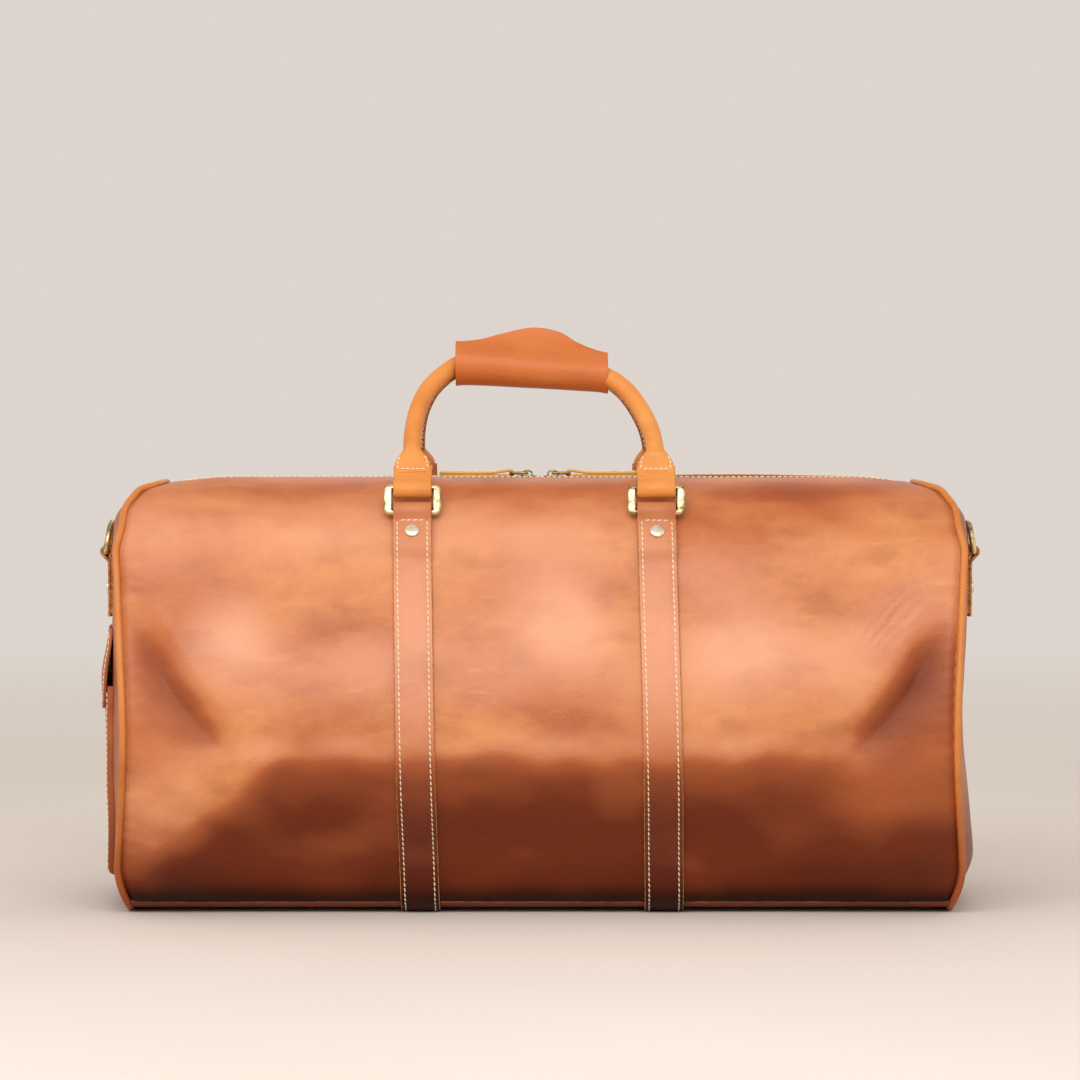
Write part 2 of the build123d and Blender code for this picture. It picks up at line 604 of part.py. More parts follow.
def make_pull():
    """A pull at x = 0, lying towards +X: a wire ring through the bridge and a folded leather tab."""
    ring_path = FilletPolyline(
        (0, -PULL_RING_HALF),
        (PULL_RING_LENGTH, -PULL_RING_HALF),
        (PULL_RING_LENGTH, PULL_RING_HALF),
        (0, PULL_RING_HALF),
        radius=PULL_RING_CORNER,
        close=True,
    )
    start = Plane(origin=ring_path @ 0, z_dir=ring_path % 0)
    ring = sweep(start * Circle(PULL_WIRE_RADIUS), path=ring_path)
    tab_half = (PULL_RING_HALF - PULL_WIRE_RADIUS) - PULL_SIDE_GAP
    eye = Pos(PULL_RING_LENGTH, 0) * Circle(PULL_LOOP_RADIUS)
    hole = Pos(PULL_RING_LENGTH, 0) * Circle(PULL_WIRE_RADIUS + WIRE_CLEARANCE)
    neck_end = PULL_RING_LENGTH + PULL_NECK
    full_width = neck_end + PULL_NECK
    neck = make_face(
        Polyline(
            (PULL_RING_LENGTH, PULL_LOOP_RADIUS),
            (neck_end, PULL_TAB_THICKNESS / 2),
            (neck_end, -PULL_TAB_THICKNESS / 2),
            (PULL_RING_LENGTH, -PULL_LOOP_RADIUS),
            close=True,
        )
    )
    eye_part = extrude(Plane.XZ * (eye + neck - hole), amount=tab_half, both=True)
    end = PULL_RING_LENGTH + PULL_TAB_LENGTH
    half = PULL_TAB_WIDTH / 2
    tongue = make_face(
        FilletPolyline(
            (neck_end, -tab_half),
            (full_width, -half),
            (end, -half),
            (end, half),
            (full_width, half),
            (neck_end, tab_half),
            radius=[0, PULL_SHOULDER, PULL_CORNER, PULL_CORNER, PULL_SHOULDER, 0],
            close=True,
        )
    )
    tab = eye_part + extrude(tongue, amount=PULL_TAB_THICKNESS / 2, both=True)
    lift = Pos(0, 0, PULL_AXIS_Z)
    return lift * ring, lift * tab


# ---------------------------------------------------------------- D-rings on the ends
END_X = BAG_LENGTH / 2
DRING_AXIS = (END_X + DRING_LOOP_RADIUS + LOOP_CLEAR, BAG_HEIGHT - DRING_DROP)


def make_dring_tab():
    """The right D-ring's tab: a loop round the ring's straight bar over two layers sewn to the end."""
    half = STRAP_WIDTH / 2
    top = DRING_AXIS[1] - LOOP_RISE
    bottom = DRING_AXIS[1] - DRING_TAB_LENGTH
    tails = (end_block(TAB_TAILS) - ENDS) & slab(
        x=(0, REACH), y=(-half, half), z=(bottom, top)
    )
    middle = (END_X + TAB_TAILS / 2, top - NECK_ROOT)
    face = drop_face(DRING_AXIS, DRING_LOOP_RADIUS, middle, (1, 0), TAB_TAILS)
    face -= Pos(*DRING_AXIS) * Circle(DRING_LOOP_RADIUS - TAB_LEATHER)
    loop = extrude(Plane.XZ * face, amount=half, both=True)
    frame = Plane(
        origin=(END_X, 0, DRING_AXIS[1] - DRING_RIVET_DROP), x_dir=(0, 1, 0), z_dir=(1, 0, 0)
    )
    return (tails + loop) - ENDS, frame


def make_dring():
    """The right D-ring: its straight bar lies in the tab's loop and its bow leans on the bag."""
    path = FilletPolyline(
        (-DRING_HALF, 0),
        (-DRING_HALF, DRING_LEG + DRING_HALF),
        (DRING_HALF, DRING_LEG + DRING_HALF),
        (DRING_HALF, 0),
        radius=DRING_HALF * 0.999,
    )
    start = Plane(origin=path @ 0, z_dir=path % 0)
    bow = sweep(start * Circle(DRING_WIRE_RADIUS), path=path)
    bar = Rot(Y=90) * Cylinder(DRING_WIRE_RADIUS, 2 * DRING_HALF)
    knuckle = Sphere(DRING_WIRE_RADIUS)
    ring = bow + bar + Pos(-DRING_HALF, 0, 0) * knuckle + Pos(DRING_HALF, 0, 0) * knuckle
    lean = math.radians(DRING_LEAN)
    frame = Plane(
        origin=(DRING_AXIS[0], 0, DRING_AXIS[1]),
        x_dir=(0, 1, 0),
        z_dir=(math.cos(lean), 0, math.sin(lean)),
    )
    return frame * ring


# ---------------------------------------------------------------- pocket on the left end
FLAP_TOP = DRING_AXIS[1] - DRING_TAB_LENGTH - FLAP_BELOW_TAB
FLAP_BOTTOM = FLAP_TOP - FLAP_HEIGHT
FLAP_HINGE = (-(END_X + FLAP_STANDOFF + BODY_LEATHER / 2), FLAP_TOP)


def make_pocket():
    """The patch pocket on the left end: a face held off the end panel by its own side and bottom walls."""
    half = POCKET_WIDTH / 2
    left = slab(x=(-REACH, 0), y=(-half, half), z=(POCKET_BOTTOM, POCKET_TOP))
    block = (end_block(POCKET_DEPTH + BODY_LEATHER) - ENDS) & left
    hollow = (end_block(POCKET_DEPTH) - ENDS) & slab(
        x=(-REACH, 0),
        y=(-half + BODY_LEATHER, half - BODY_LEATHER),
        z=(POCKET_BOTTOM + BODY_LEATHER, REACH),
    )
    return block - hollow


def pocket_snap(x, z, direction):
    """A flat press-stud half on an upright face at x, pointing in direction along X."""
    disc = Cylinder(POCKET_SNAP_RADIUS, POCKET_SNAP_HEIGHT)
    return Pos(x + direction * POCKET_SNAP_HEIGHT / 2, 0, z) * Rot(Y=90) * disc


def make_pocket_flap():
    """The flap over the pocket's mouth, hinged along its top edge."""
    half = FLAP_WIDTH / 2
    skin = end_block(FLAP_STANDOFF + BODY_LEATHER) - end_block(FLAP_STANDOFF)
    outline = make_face(
        FilletPolyline(
            (-half, FLAP_TOP),
            (-half, FLAP_BOTTOM),
            (half, FLAP_BOTTOM),
            (half, FLAP_TOP),
            radius=[0, FLAP_CORNER, FLAP_CORNER, 0],
            close=True,
        )
    )
    mask = extrude(Plane.YZ * outline, amount=-REACH)
    flap = skin & mask
    snap_x = -(END_X + FLAP_STANDOFF + BODY_LEATHER)
    cap = pocket_snap(snap_x, FLAP_BOTTOM + POCKET_SNAP_RISE, -1)
    cap = fillet(cap.edges().group_by(Axis.X)[0], POCKET_SNAP_HEIGHT * 0.7)
    pivot = Pos(FLAP_HINGE[0], 0, FLAP_HINGE[1])
    swing = pivot * Rot(Y=FLAP_ANGLE) * pivot.inverse()
    return swing * flap, swing * cap


# ---------------------------------------------------------------- the whole bag
def make_bag():
    """Every named piece of the bag, in place."""
    parts = {}
    left = Pos(-STRAP_SPACING / 2, 0, 0)
    right = Pos(STRAP_SPACING / 2, 0, 0)
    sides = (("left", left), ("right", right))
    frame = rivet_frame()
    hole = rivet_hole(frame)
    stack = TAB_TAILS + STRAP_LEATHER
    depth = BODY_LEATHER + RIVET_SEAT
    one_rivet = rivet(frame, depth, stack + RIVET_PLAY)
    strap = make_strap()
    strap_cut = strap - hole - rear_of(hole)
    tab = make_tab(strap, hole)
    ring = make_ring()
    rivets = []
    for side, place in sides:
        parts[f"{side}_strap"] = place * strap_cut
        parts[f"front_{side}_ring_tab"] = place * tab
        parts[f"rear_{side}_ring_tab"] = rear_of(place * tab)
        parts[f"front_{side}_ring"] = place * ring
        parts[f"rear_{side}_ring"] = rear_of(place * ring)
        rivets += [place * one_rivet, rear_of(place * one_rivet)]
    parts["strap_rivets"] = Compound(children=rivets)

    front, bottom = make_panels()
    for _, place in sides:
        front -= place * hole
    parts["front_panel"] = front
    parts["rear_panel"] = rear_of(front)
    parts["bottom_panel"] = bottom
    straps = left * band(0, WELT_PROUD + 1, -REACH, REACH)
    straps += right * band(0, WELT_PROUD + 1, -REACH, REACH)
    welt = make_welt(straps)
    parts["front_bottom_welt"] = welt
    parts["rear_bottom_welt"] = rear_of(welt)

    end_panel, piping = make_ends()
    dring_tab, dring_frame = make_dring_tab()
    dring_hole = rivet_hole(dring_frame)
    dring_rivet = rivet(dring_frame, BODY_LEATHER + RIVET_PLAY, TAB_TAILS + RIVET_PLAY)
    end_panel -= dring_hole
    dring_tab -= dring_hole
    dring = make_dring()
    for name, piece in (
        ("end_panel", end_panel),
        ("piping", piping),
        ("dring_tab", dring_tab),
        ("dring", dring),
    ):
        parts[f"right_{name}"] = piece
        parts[f"left_{name}"] = piece.mirror(Plane.YZ)
    parts["dring_rivets"] = Compound(children=[dring_rivet, dring_rivet.mirror(Plane.YZ)])

    parts["lining"], parts["base_board"] = make_lining()

    cover, core, chapes = make_handle()
    for name, piece in (("handle_cover", cover), ("handle_core", core)):
        parts[f"front_{name}"] = piece
        parts[f"rear_{name}"] = rear_of(piece)
    for side, chape in zip(("left", "right"), chapes):
        parts[f"front_{side}_chape"] = chape
        parts[f"rear_{side}_chape"] = rear_of(chape)
    parts["handle_wrap"] = WRAP_TILT * make_wrap()
    parts["wrap_flap"], parts["wrap_snap"] = make_wrap_flap()

    tape, teeth, stops = make_zipper()
    parts["front_zipper_tape"] = tape
    parts["rear_zipper_tape"] = rear_of(tape)
    parts["front_zipper_teeth"] = teeth
    parts["rear_zipper_teeth"] = rear_of(teeth)
    parts["zipper_stops"] = stops
    slider = Pos(SLIDER_PLACE, 0, 0) * make_slider()
    pull_ring, pull_tab = make_pull()
    for name, piece in (
        ("slider", slider),
        ("pull_ring", Pos(SLIDER_PLACE, 0, 0) * pull_ring),
        ("pull_tab", Pos(SLIDER_PLACE, 0, 0) * pull_tab),
    ):
        parts[f"right_{name}"] = piece
        parts[f"left_{name}"] = piece.mirror(Plane.YZ)

    parts["end_pocket"] = make_pocket()
    parts["pocket_flap"], parts["pocket_flap_snap"] = make_pocket_flap()
    return parts


def main():
    os.makedirs("parts", exist_ok=True)
    for name, piece in make_bag().items():
        export_step(piece, f"parts/{name}.step")


main()
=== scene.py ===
import math
import random

import bmesh
import bpy
import numpy as np
from mathutils import Matrix, Vector, noise


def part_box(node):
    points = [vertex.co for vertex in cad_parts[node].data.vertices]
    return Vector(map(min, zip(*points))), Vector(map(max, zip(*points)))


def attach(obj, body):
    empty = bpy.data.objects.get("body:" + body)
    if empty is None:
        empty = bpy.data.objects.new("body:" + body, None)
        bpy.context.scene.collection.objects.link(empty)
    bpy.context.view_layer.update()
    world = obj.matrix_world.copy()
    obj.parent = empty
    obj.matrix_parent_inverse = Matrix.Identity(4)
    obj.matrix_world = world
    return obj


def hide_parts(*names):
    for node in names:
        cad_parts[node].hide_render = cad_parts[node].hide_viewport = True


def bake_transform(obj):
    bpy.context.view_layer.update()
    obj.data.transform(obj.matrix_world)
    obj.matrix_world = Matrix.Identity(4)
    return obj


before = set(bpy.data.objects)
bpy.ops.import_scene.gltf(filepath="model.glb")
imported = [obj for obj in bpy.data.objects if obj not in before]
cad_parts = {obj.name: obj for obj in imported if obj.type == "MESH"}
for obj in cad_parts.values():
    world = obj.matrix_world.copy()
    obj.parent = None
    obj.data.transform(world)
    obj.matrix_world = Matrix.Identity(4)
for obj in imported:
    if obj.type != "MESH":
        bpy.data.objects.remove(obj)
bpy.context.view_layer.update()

# Sizes are in millimetres; MM turns them to the scene's metres. The front face looks towards -Y.
MM = 0.001
FRONT, REAR = -1, 1
LEFT, RIGHT = -1, 1
SIDES = (("left", LEFT), ("right", RIGHT))
FACES = (("front", FRONT), ("rear", REAR))
random.seed(7)


def box_mm(node):
    """Lowest and highest corner of a frame node, in millimetres."""
    low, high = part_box(node)
    return np.array(low) / MM, np.array(high) / MM


# ---------------------------------------------------------------- sizes
BAG_TOP = box_mm("front_panel")[1][2]
UNDERSIDE = 2.2
END_X = 281.0  # face of an end panel at its middle
END_RADIUS = 468.1  # curve of the end panels in plan
CORNER_SOFTNESS = 7.0
LEATHER = 2.0
SLOT_EDGE = 12.0
SEAM_Z = UNDERSIDE + 5.0
WELT_THICKNESS = 1.4
STRAP_X = 78.5
STRAP_WIDTH = 25.0
STRAP_TOP = BAG_TOP - 29.0
TOP_SHIFT = -3.6  # the straps' tops and the handles sit this far to one side
STRAP_LEAN = 5.2  # how much further right a strap is at the floor than at its top
TAB_LAYERS = 4.0
LOOP_OUTER = 6.1
STITCH_PITCH = 3.8
THREAD = 0.95


# ---------------------------------------------------------------- curves in a plane
def unit(v):
    return v / np.linalg.norm(v)


def smoothstep(low, high, value):
    """0 at low and 1 at high, eased at both; low may be the larger."""
    t = min(1.0, max(0.0, (value - low) / (high - low)))
    return t * t * (3 - 2 * t)


def bell(value, middle, spread):
    """A smooth bump of height 1."""
    return math.exp(-(((value - middle) / spread) ** 2))


class Track:
    """A plane curve that can be asked for its point and direction at any distance along it."""

    def __init__(self, points):
        self.points = np.array(points, float)
        steps = np.linalg.norm(np.diff(self.points, axis=0), axis=1)
        self.distance = np.concatenate([[0.0], np.cumsum(steps)])
        self.length = self.distance[-1]

    def point(self, s):
        return np.array(
            [np.interp(s, self.distance, column) for column in self.points.T]
        )

    def direction(self, s, span=0.6):
        return unit(
            self.point(min(self.length, s + span)) - self.point(max(0.0, s - span))
        )

    def where(self, column, value, start=0.0):
        """Distance at which a coordinate first falls to a value, after start."""
        for s in np.arange(start, self.length, 0.1):
            if self.point(s)[column] <= value:
                return s
        return self.length


def rounded_line(corners, radii):
    """Points of straight runs joined by tangent arcs."""
    corners = [np.array(c, float) for c in corners]
    line = [corners[0]]
    for before, corner, after, radius in zip(corners, corners[1:], corners[2:], radii):
        into, out = unit(corner - before), unit(after - corner)
        turn = math.acos(max(-1.0, min(1.0, float(into @ out))))
        side = math.copysign(1.0, into[0] * out[1] - into[1] * out[0])
        start = corner - into * radius * math.tan(turn / 2)
        centre = start + side * radius * np.array([-into[1], into[0]])
        arm = start - centre
        count = max(3, int(turn * radius / 1.5))
        for k in range(count + 1):
            angle = side * turn * k / count
            c, s = math.cos(angle), math.sin(angle)
            line.append(
                centre + np.array([c * arm[0] - s * arm[1], s * arm[0] + c * arm[1]])
            )
    return line + [corners[-1]]


def smooth_line(points, step=1.5):
    """Points of a smooth curve through the given ones."""
    p = [np.array(q, float) for q in points]
    p = [2 * p[0] - p[1]] + p + [2 * p[-1] - p[-2]]
    line = []
    for a, b, c, d in zip(p, p[1:], p[2:], p[3:]):
        count = max(2, int(np.linalg.norm(c - b) / step))
        for k in range(count):
            t = k / count
            line.append(
                0.5
                * (
                    2 * b
                    + (c - a) * t
                    + (2 * a - 5 * b + 4 * c - d) * t**2
                    + (3 * b - a - 3 * c + d) * t**3
                )
            )
    return line + [p[-2]]


# ---------------------------------------------------------------- the leather's shape
HALF_SECTION = Track(
    rounded_line(
        [
            (0, BAG_TOP),
            (-40, BAG_TOP),
            (-88, BAG_TOP - 33),
            (-129, 104),
            (-82, UNDERSIDE),
            (0, UNDERSIDE),
        ],
        [60, 105, 130, 25],
    )
)
TOP_S = HALF_SECTION.where(1, STRAP_TOP)
SEAM_S = HALF_SECTION.where(1, SEAM_Z)
FLOOR_S = HALF_SECTION.length


END_PROFILE = Track(
    rounded_line(
        [(-5, 287), (BAG_TOP - 32, 287), (BAG_TOP - 3.5, 264), (BAG_TOP + 1, 246)], [26, 10]
    )
).points.T


def end_x(y, z):
    """Distance from the bag's middle to the face of an end panel."""
    bulge = math.sqrt(END_RADIUS**2 - y * y) - (END_RADIUS - END_X)
    lean = float(np.interp(z, *END_PROFILE))
    gap = max(CORNER_SOFTNESS - abs(bulge - lean), 0.0) / CORNER_SOFTNESS
    foot = 12.0 * max(0.0, 1 - z / 34) ** 2
    dome = 0.0013 * y * y * smoothstep(BAG_TOP - 48, BAG_TOP - 18, z)
    return min(bulge, lean) - gap * gap * CORNER_SOFTNESS / 4 - foot - dome


def settle(p):
    """A point of the bag moved to where the ridge really lies: lower towards its ends, uneven behind."""
    x, y, z = p
    drop = 3.6 * smoothstep(205, 252, abs(x))
    drop -= 1.5 * bell(x, 125, 60) * smoothstep(3, 12, y)
    return np.array([x, y, z - drop * smoothstep(BAG_TOP - 32, BAG_TOP - 4, z)])


def soft_noise(x, y, z, size):
    """Smooth noise whose lumps are about size across."""
    return noise.noise(Vector((x / size, y / size, z / size)))


def dent(x, z, middle, spread, angle):
    """A smooth oval dent of depth 1, its long axis turned by angle degrees from level."""
    a = math.radians(angle)
    dx, dz = x - middle[0], z - middle[1]
    along = dx * math.cos(a) + dz * math.sin(a)
    across = -dx * math.sin(a) + dz * math.cos(a)
    return math.exp(-((along / spread[0]) ** 2) - (across / spread[1]) ** 2)


def fold(x, z, start, end, width):
    """A soft sharp-backed fold of height 1 along a line."""
    line = np.array(end, float) - np.array(start, float)
    length = np.linalg.norm(line)
    along = ((x - start[0]) * line[0] + (z - start[1]) * line[1]) / length
    across = abs((x - start[0]) * line[1] - (z - start[1]) * line[0]) / length
    ends = smoothstep(-20, 20, along) * (1 - smoothstep(length - 20, length + 20, along))
    return ends * math.exp(-((across / width) ** 1.5))


def corner_crease(x, z):
    """The crease across an end of the front: 0 inside it, rising steeply to 1 and dying away outwards."""
    start, end = (256.0, 210.0), (188.0, 114.0)
    run, fall = end[0] - start[0], end[1] - start[1]
    length = math.hypot(run, fall)
    along = ((x - start[0]) * run + (z - start[1]) * fall) / length
    bow = 5.0 * math.sin(math.pi * min(1.0, max(0.0, along / length)))
    away = ((start[1] - z) * run + (x - start[0]) * fall) / -length - bow
    ends = smoothstep(-8, 45, along) * smoothstep(length + 16, length - 26, along)
    return ends * smoothstep(-7, 17, away) * math.exp(-max(0.0, away - 14) / 24)


def creases(x, z, middle, spread, angle, pitch):
    """Fine parallel wrinkles inside an oval."""
    a = math.radians(angle)
    across = -(x - middle[0]) * math.sin(a) + (z - middle[1]) * math.cos(a)
    along = (x - middle[0]) * math.cos(a) + (z - middle[1]) * math.sin(a)
    bent = across + 3.0 * soft_noise(x, 40, z, 17) + 0.05 * along
    wave = math.sin(2 * math.pi * bent / pitch)
    patchy = max(0.0, 0.55 + 1.3 * soft_noise(x, 77, z, 11))
    return dent(x, z, middle, spread, angle) * wave * patchy


def sag(x, z, face):
    """How far the leather stands out of its plain section, for a point on the front or rear."""
    if z > BAG_TOP - 1.0:
        return 0.0
    edge = end_x(-100, z) - abs(x)
    inner = smoothstep(0, 34, edge)
    under = 1 - smoothstep(214, 238, z)
    below_top = 1 - smoothstep(BAG_TOP - 16, BAG_TOP - 4, z)
    above_base = smoothstep(3, 22, z)
    middle = 1 - smoothstep(120, 225, abs(x))
    out = 3.2 * bell(z, 96, 38) * (0.35 + 0.65 * middle) * under
    out -= 3.0 * bell(z, 42, 26) * middle
    out -= 2.6 * bell(z, 214, 34) * (bell(x, 0, 46) + bell(abs(x), 165, 50))
    out += 7.5 * bell(abs(x), 236, 46) * bell(z, 52, 34)
    lumps = 1.5 * soft_noise(x, 13 * face, z, 95) + 0.6 * soft_noise(x, 50 * face, z, 34)
    out += lumps * below_top
    flip = x if face == FRONT else -x
    if face == FRONT:
        out += 3.6 * fold(x, z, (-246, 20), (-166, 102), 20)
        out -= 7.5 * corner_crease(-x, z)
        out -= 6.5 * corner_crease(x, z)
        out += 0.50 * creases(x, z, (222, 190), (26, 15), 48, 5.6)
        out += 0.42 * creases(x, z, (220, 116), (28, 14), 30, 5.2)
        out += 0.30 * creases(x, z, (122, 137), (20, 7), 8, 5.0)
    else:
        out -= 4.0 * dent(flip, z, (-205, 160), (40, 20), -30)
        out -= 4.5 * dent(flip, z, (210, 128), (38, 18), 38)
        out += 2.2 * fold(flip, z, (-240, 30), (-170, 100), 10)
        out += 0.5 * creases(flip, z, (218, 176), (26, 14), 44, 5.2)
    pull = bell(edge, 4, 12) * math.sin(2 * math.pi * (z + 5 * soft_noise(x, face, z, 30)) / 9.5)
    puckers = 0.55 * pull * (0.4 + soft_noise(face, x / 9, z, 40)) * smoothstep(25, 60, z) * under
    return (out * inner + puckers) * above_base * (0.25 + 0.75 * below_top)


def skin(x, s, lift=0.0, face=FRONT):
    """A point lift outside the leather's face, s from the middle of the top down the front or rear."""
    (y, z), (dy, dz) = HALF_SECTION.point(s), HALF_SECTION.direction(s)
    out = lift + sag(x, z, face)
    return settle((x, -face * (y + dz * out), z - dy * out))


def skin_out(s, face=FRONT):
    """The direction out of the leather at s."""
    dy, dz = HALF_SECTION.direction(s)
    return np.array([0.0, -face * dz, -dy])


def end_sag(y, z, side):
    """How far an end panel stands out of its plain curve."""
    rim = 1 - ((y / 118) ** 2 + ((z - 135) / 135) ** 2)
    inside = smoothstep(0.02, 0.45, rim)
    out = 1.6 * soft_noise(9 * side, y, z, 70) + 0.5 * soft_noise(4 * side, y, z, 28)
    if side == RIGHT:
        out += 5.5 * bell(z, 26, 42) - 3.6 * bell(z, 130, 48)
    tab = math.exp(-((y / 28) ** 2) - ((z - 212) / 36) ** 2)
    return out * inside * (1 - 0.95 * tab)


def end_skin(y, z, side, lift=0.0):
    """A point lift outside an end panel's face."""
    return settle((side * (end_x(y, z) + lift + end_sag(y, z, side)), y, z))


# ---------------------------------------------------------------- building meshes
def select_only(obj):
    bpy.ops.object.select_all(action="DESELECT")
    obj.select_set(True)
    bpy.context.view_layer.objects.active = obj


def apply_modifier(obj, kind, **settings):
    """Adds a modifier with its settings and applies it."""
    modifier = obj.modifiers.new(kind.title(), kind)
    for key, value in settings.items():
        setattr(modifier, key, value)
    select_only(obj)
    bpy.ops.object.modifier_apply(modifier=modifier.name)


def shade(obj, angle=40):
    select_only(obj)
    bpy.ops.object.shade_smooth_by_angle(angle=math.radians(angle))


def finish_piece(obj, body, materials, replaced=()):
    """Materials, body and the frame nodes that a piece stands for."""
    if not obj.data.materials:
        for material in materials:
            obj.data.materials.append(material)
    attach(obj, body)
    if replaced:
        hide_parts(*replaced)
    return obj


def mesh_piece(name, points, faces, face_material=None):
    """A mesh object from points in millimetres."""
    mesh = bpy.data.meshes.new(name)
    mesh.from_pydata([tuple(np.array(p) * MM) for p in points], [], faces)
    if face_material is not None:
        mesh.polygons.foreach_set("material_index", face_material)
    mesh.update()
    obj = bpy.data.objects.new(name, mesh)
    bpy.context.scene.collection.objects.link(obj)
    return obj


def face_outwards(obj):
    """Turns a closed shell's faces outwards."""
    select_only(obj)
    bpy.ops.object.mode_set(mode="EDIT")
    bpy.ops.mesh.select_all(action="SELECT")
    bpy.ops.mesh.remove_doubles(threshold=1e-6)
    bpy.ops.mesh.normals_make_consistent(inside=False)
    bpy.ops.object.mode_set(mode="OBJECT")


def lofted_sheet(name, rows, outward, thickness=LEATHER, closed=False):
    """A sheet through rows of points, given its thickness on the inner side."""
    count = len(rows[0])
    points = [p for row in rows for p in row]
    faces = []
    for i in range(len(rows) - 1):
        for j in range(count if closed else count - 1):
            k = (j + 1) % count
            faces.append((i * count + j, i * count + k, (i + 1) * count + k, (i + 1) * count + j))
    obj = mesh_piece(name, points, faces)
    middle = obj.data.polygons[len(faces) // 2]
    if middle.normal.dot(Vector(outward)) < 0:
        obj.data.flip_normals()
    if thickness:
        apply_modifier(obj, "SOLIDIFY", thickness=thickness * MM, offset=-1, use_rim=True)
    return obj


def sweep(name, frames, profiles, closed=False, edge_steps=()):
    """A closed profile carried along frames of (origin, right, up); edge_steps take the second material."""
    if not isinstance(profiles[0][0], (list, tuple)):
        profiles = [profiles] * len(frames)
    count = len(profiles[0])
    points = []
    for (origin, right, up), profile in zip(frames, profiles):
        points += [origin + right * r + up * u for r, u in profile]
    faces, materials = [], []
    last = len(frames) if closed else len(frames) - 1
    for i in range(last):
        a, b = i * count, ((i + 1) % len(frames)) * count
        for j in range(count):
            k = (j + 1) % count
            faces.append((a + j, a + k, b + k, b + j))
            materials.append(1 if j in edge_steps else 0)
    if not closed:
        faces += [tuple(range(count)), tuple(range(len(points) - count, len(points)))]
        materials += [1 if edge_steps else 0] * 2
    obj = mesh_piece(name, points, faces, materials)
    face_outwards(obj)
    return obj


def frames_along(points, up_of=None, closed=False):
    """Frames along points, with up kept as near as it can be to up_of(index) or to the last one."""
    points = [np.array(p, float) for p in points]
    frames, up = [], None
    for i, p in enumerate(points):
        if closed:
            ahead, behind = points[(i + 1) % len(points)], points[i - 1]
        else:
            ahead, behind = points[min(i + 1, len(points) - 1)], points[max(i - 1, 0)]
        along = unit(ahead - behind)
        wanted = np.array(up_of(i), float) if up_of else up
        if wanted is None:
            wanted = np.array([0.0, 0.0, 1.0]) if abs(along[2]) < 0.9 else np.array([0.0, 1.0, 0.0])
        up = unit(wanted - along * (wanted @ along))
        frames.append((p, np.cross(along, up), up))
    return frames


def circle(radius, count=20):
    return [
        (radius * math.cos(2 * math.pi * k / count), radius * math.sin(2 * math.pi * k / count))
        for k in range(count)
    ]


def superellipse(half_width, half_height, power, count=36):
    """Points of a closed outline between an ellipse (power 2) and a rectangle."""
    outline = []
    for k in range(count):
        t = 2 * math.pi * k / count
        c, s = math.cos(t), math.sin(t)
        outline.append(
            (
                half_width * math.copysign(abs(c) ** (2 / power), c),
                half_height * math.copysign(abs(s) ** (2 / power), s),
            )
        )
    return outline


def band_profile(width, thickness, groove=2.9, crown=0.15, low=0.0):
    """Outline of a leather band: crowned top, rounded edges and a shallow channel for each stitch row."""
    h, t = width / 2, thickness
    side = [
        (h - 0.35, low),
        (h, low + 0.4),
        (h, t - 0.5),
        (h - 0.45, t - 0.05),
    ]
    if groove:
        side += [(h - groove + 0.9, t), (h - groove, t - 0.35), (h - groove - 0.9, t)]
    top = [(x, t + crown) for x in (h * 0.3, 0.0)]
    right = side + top
    left = [(-x, u) for x, u in reversed(right[:-1])]
    return right + left


def band_edges(profile):
    """Steps of a band's profile that are its cut edges."""
    count = len(profile)
    return (0, 1, 2, count - 4, count - 3, count - 2)


# ---------------------------------------------------------------- materials
def linear(hex_colour):
    """An sRGB hex colour as linear RGBA."""
    values = [int(hex_colour[i : i + 2], 16) / 255 for i in (0, 2, 4)]
    return [v / 12.92 if v <= 0.04045 else ((v + 0.055) / 1.055) ** 2.4 for v in values] + [1.0]


def add(tree, kind, settings=None, **links):
    """Adds a node, sets its properties and inputs, and links the inputs given as sockets."""
    node = tree.nodes.new(kind)
    for key, value in (settings or {}).items():
        setattr(node, key, value)
    for key, value in links.items():
        numbered = key[0] == "i" and key[1:].isdigit()
        socket = node.inputs[int(key[1:]) if numbered else key.replace("_", " ")]
        if isinstance(value, bpy.types.NodeSocket):
            tree.links.new(value, socket)
        else:
            socket.default_value = value
    return node


def blank_material(name):
    """A material with only a surface shader; returns it, its tree, the shader and object coordinates."""
    material = bpy.data.materials.new(name)
    material.use_nodes = True
    tree = material.node_tree
    shader = tree.nodes["Principled BSDF"]
    where = add(tree, "ShaderNodeTexCoord").outputs["Object"]
    return material, tree, shader, where


def ramp(tree, factor, stops):
    """A colour ramp from a list of (place, colour) stops."""
    node = add(tree, "ShaderNodeValToRGB", Fac=factor)
    elements = node.color_ramp.elements
    while len(elements) < len(stops):
        elements.new(0.5)
    for element, (place, colour) in zip(elements, stops):
        element.position = place
        element.color = colour
    return node.outputs["Color"]


def grey(value):
    return [value, value, value, 1.0]


def mixed(tree, factor, a, b, kind="MIX"):
    """One colour laid over another."""
    node = add(tree, "ShaderNodeMix", {"data_type": "RGBA", "blend_type": kind}, i0=factor, i6=a, i7=b)
    return node.outputs[2]


def noise_field(tree, where, size, detail=3.0, stretch=(1, 1, 1), turn=(0, 0, 0), rough=0.55):
    """Noise whose lumps are about size millimetres across, stretched along its own axes."""
    placed = add(
        tree,
        "ShaderNodeMapping",
        Vector=where,
        Rotation=[math.radians(a) for a in turn],
        Scale=[1 / s for s in stretch],
    )
    field = add(
        tree,
        "ShaderNodeTexNoise",
        Vector=placed.outputs["Vector"],
        Scale=1 / (size * MM),
        Detail=detail,
        Roughness=rough,
    )
    return field.outputs["Fac"]


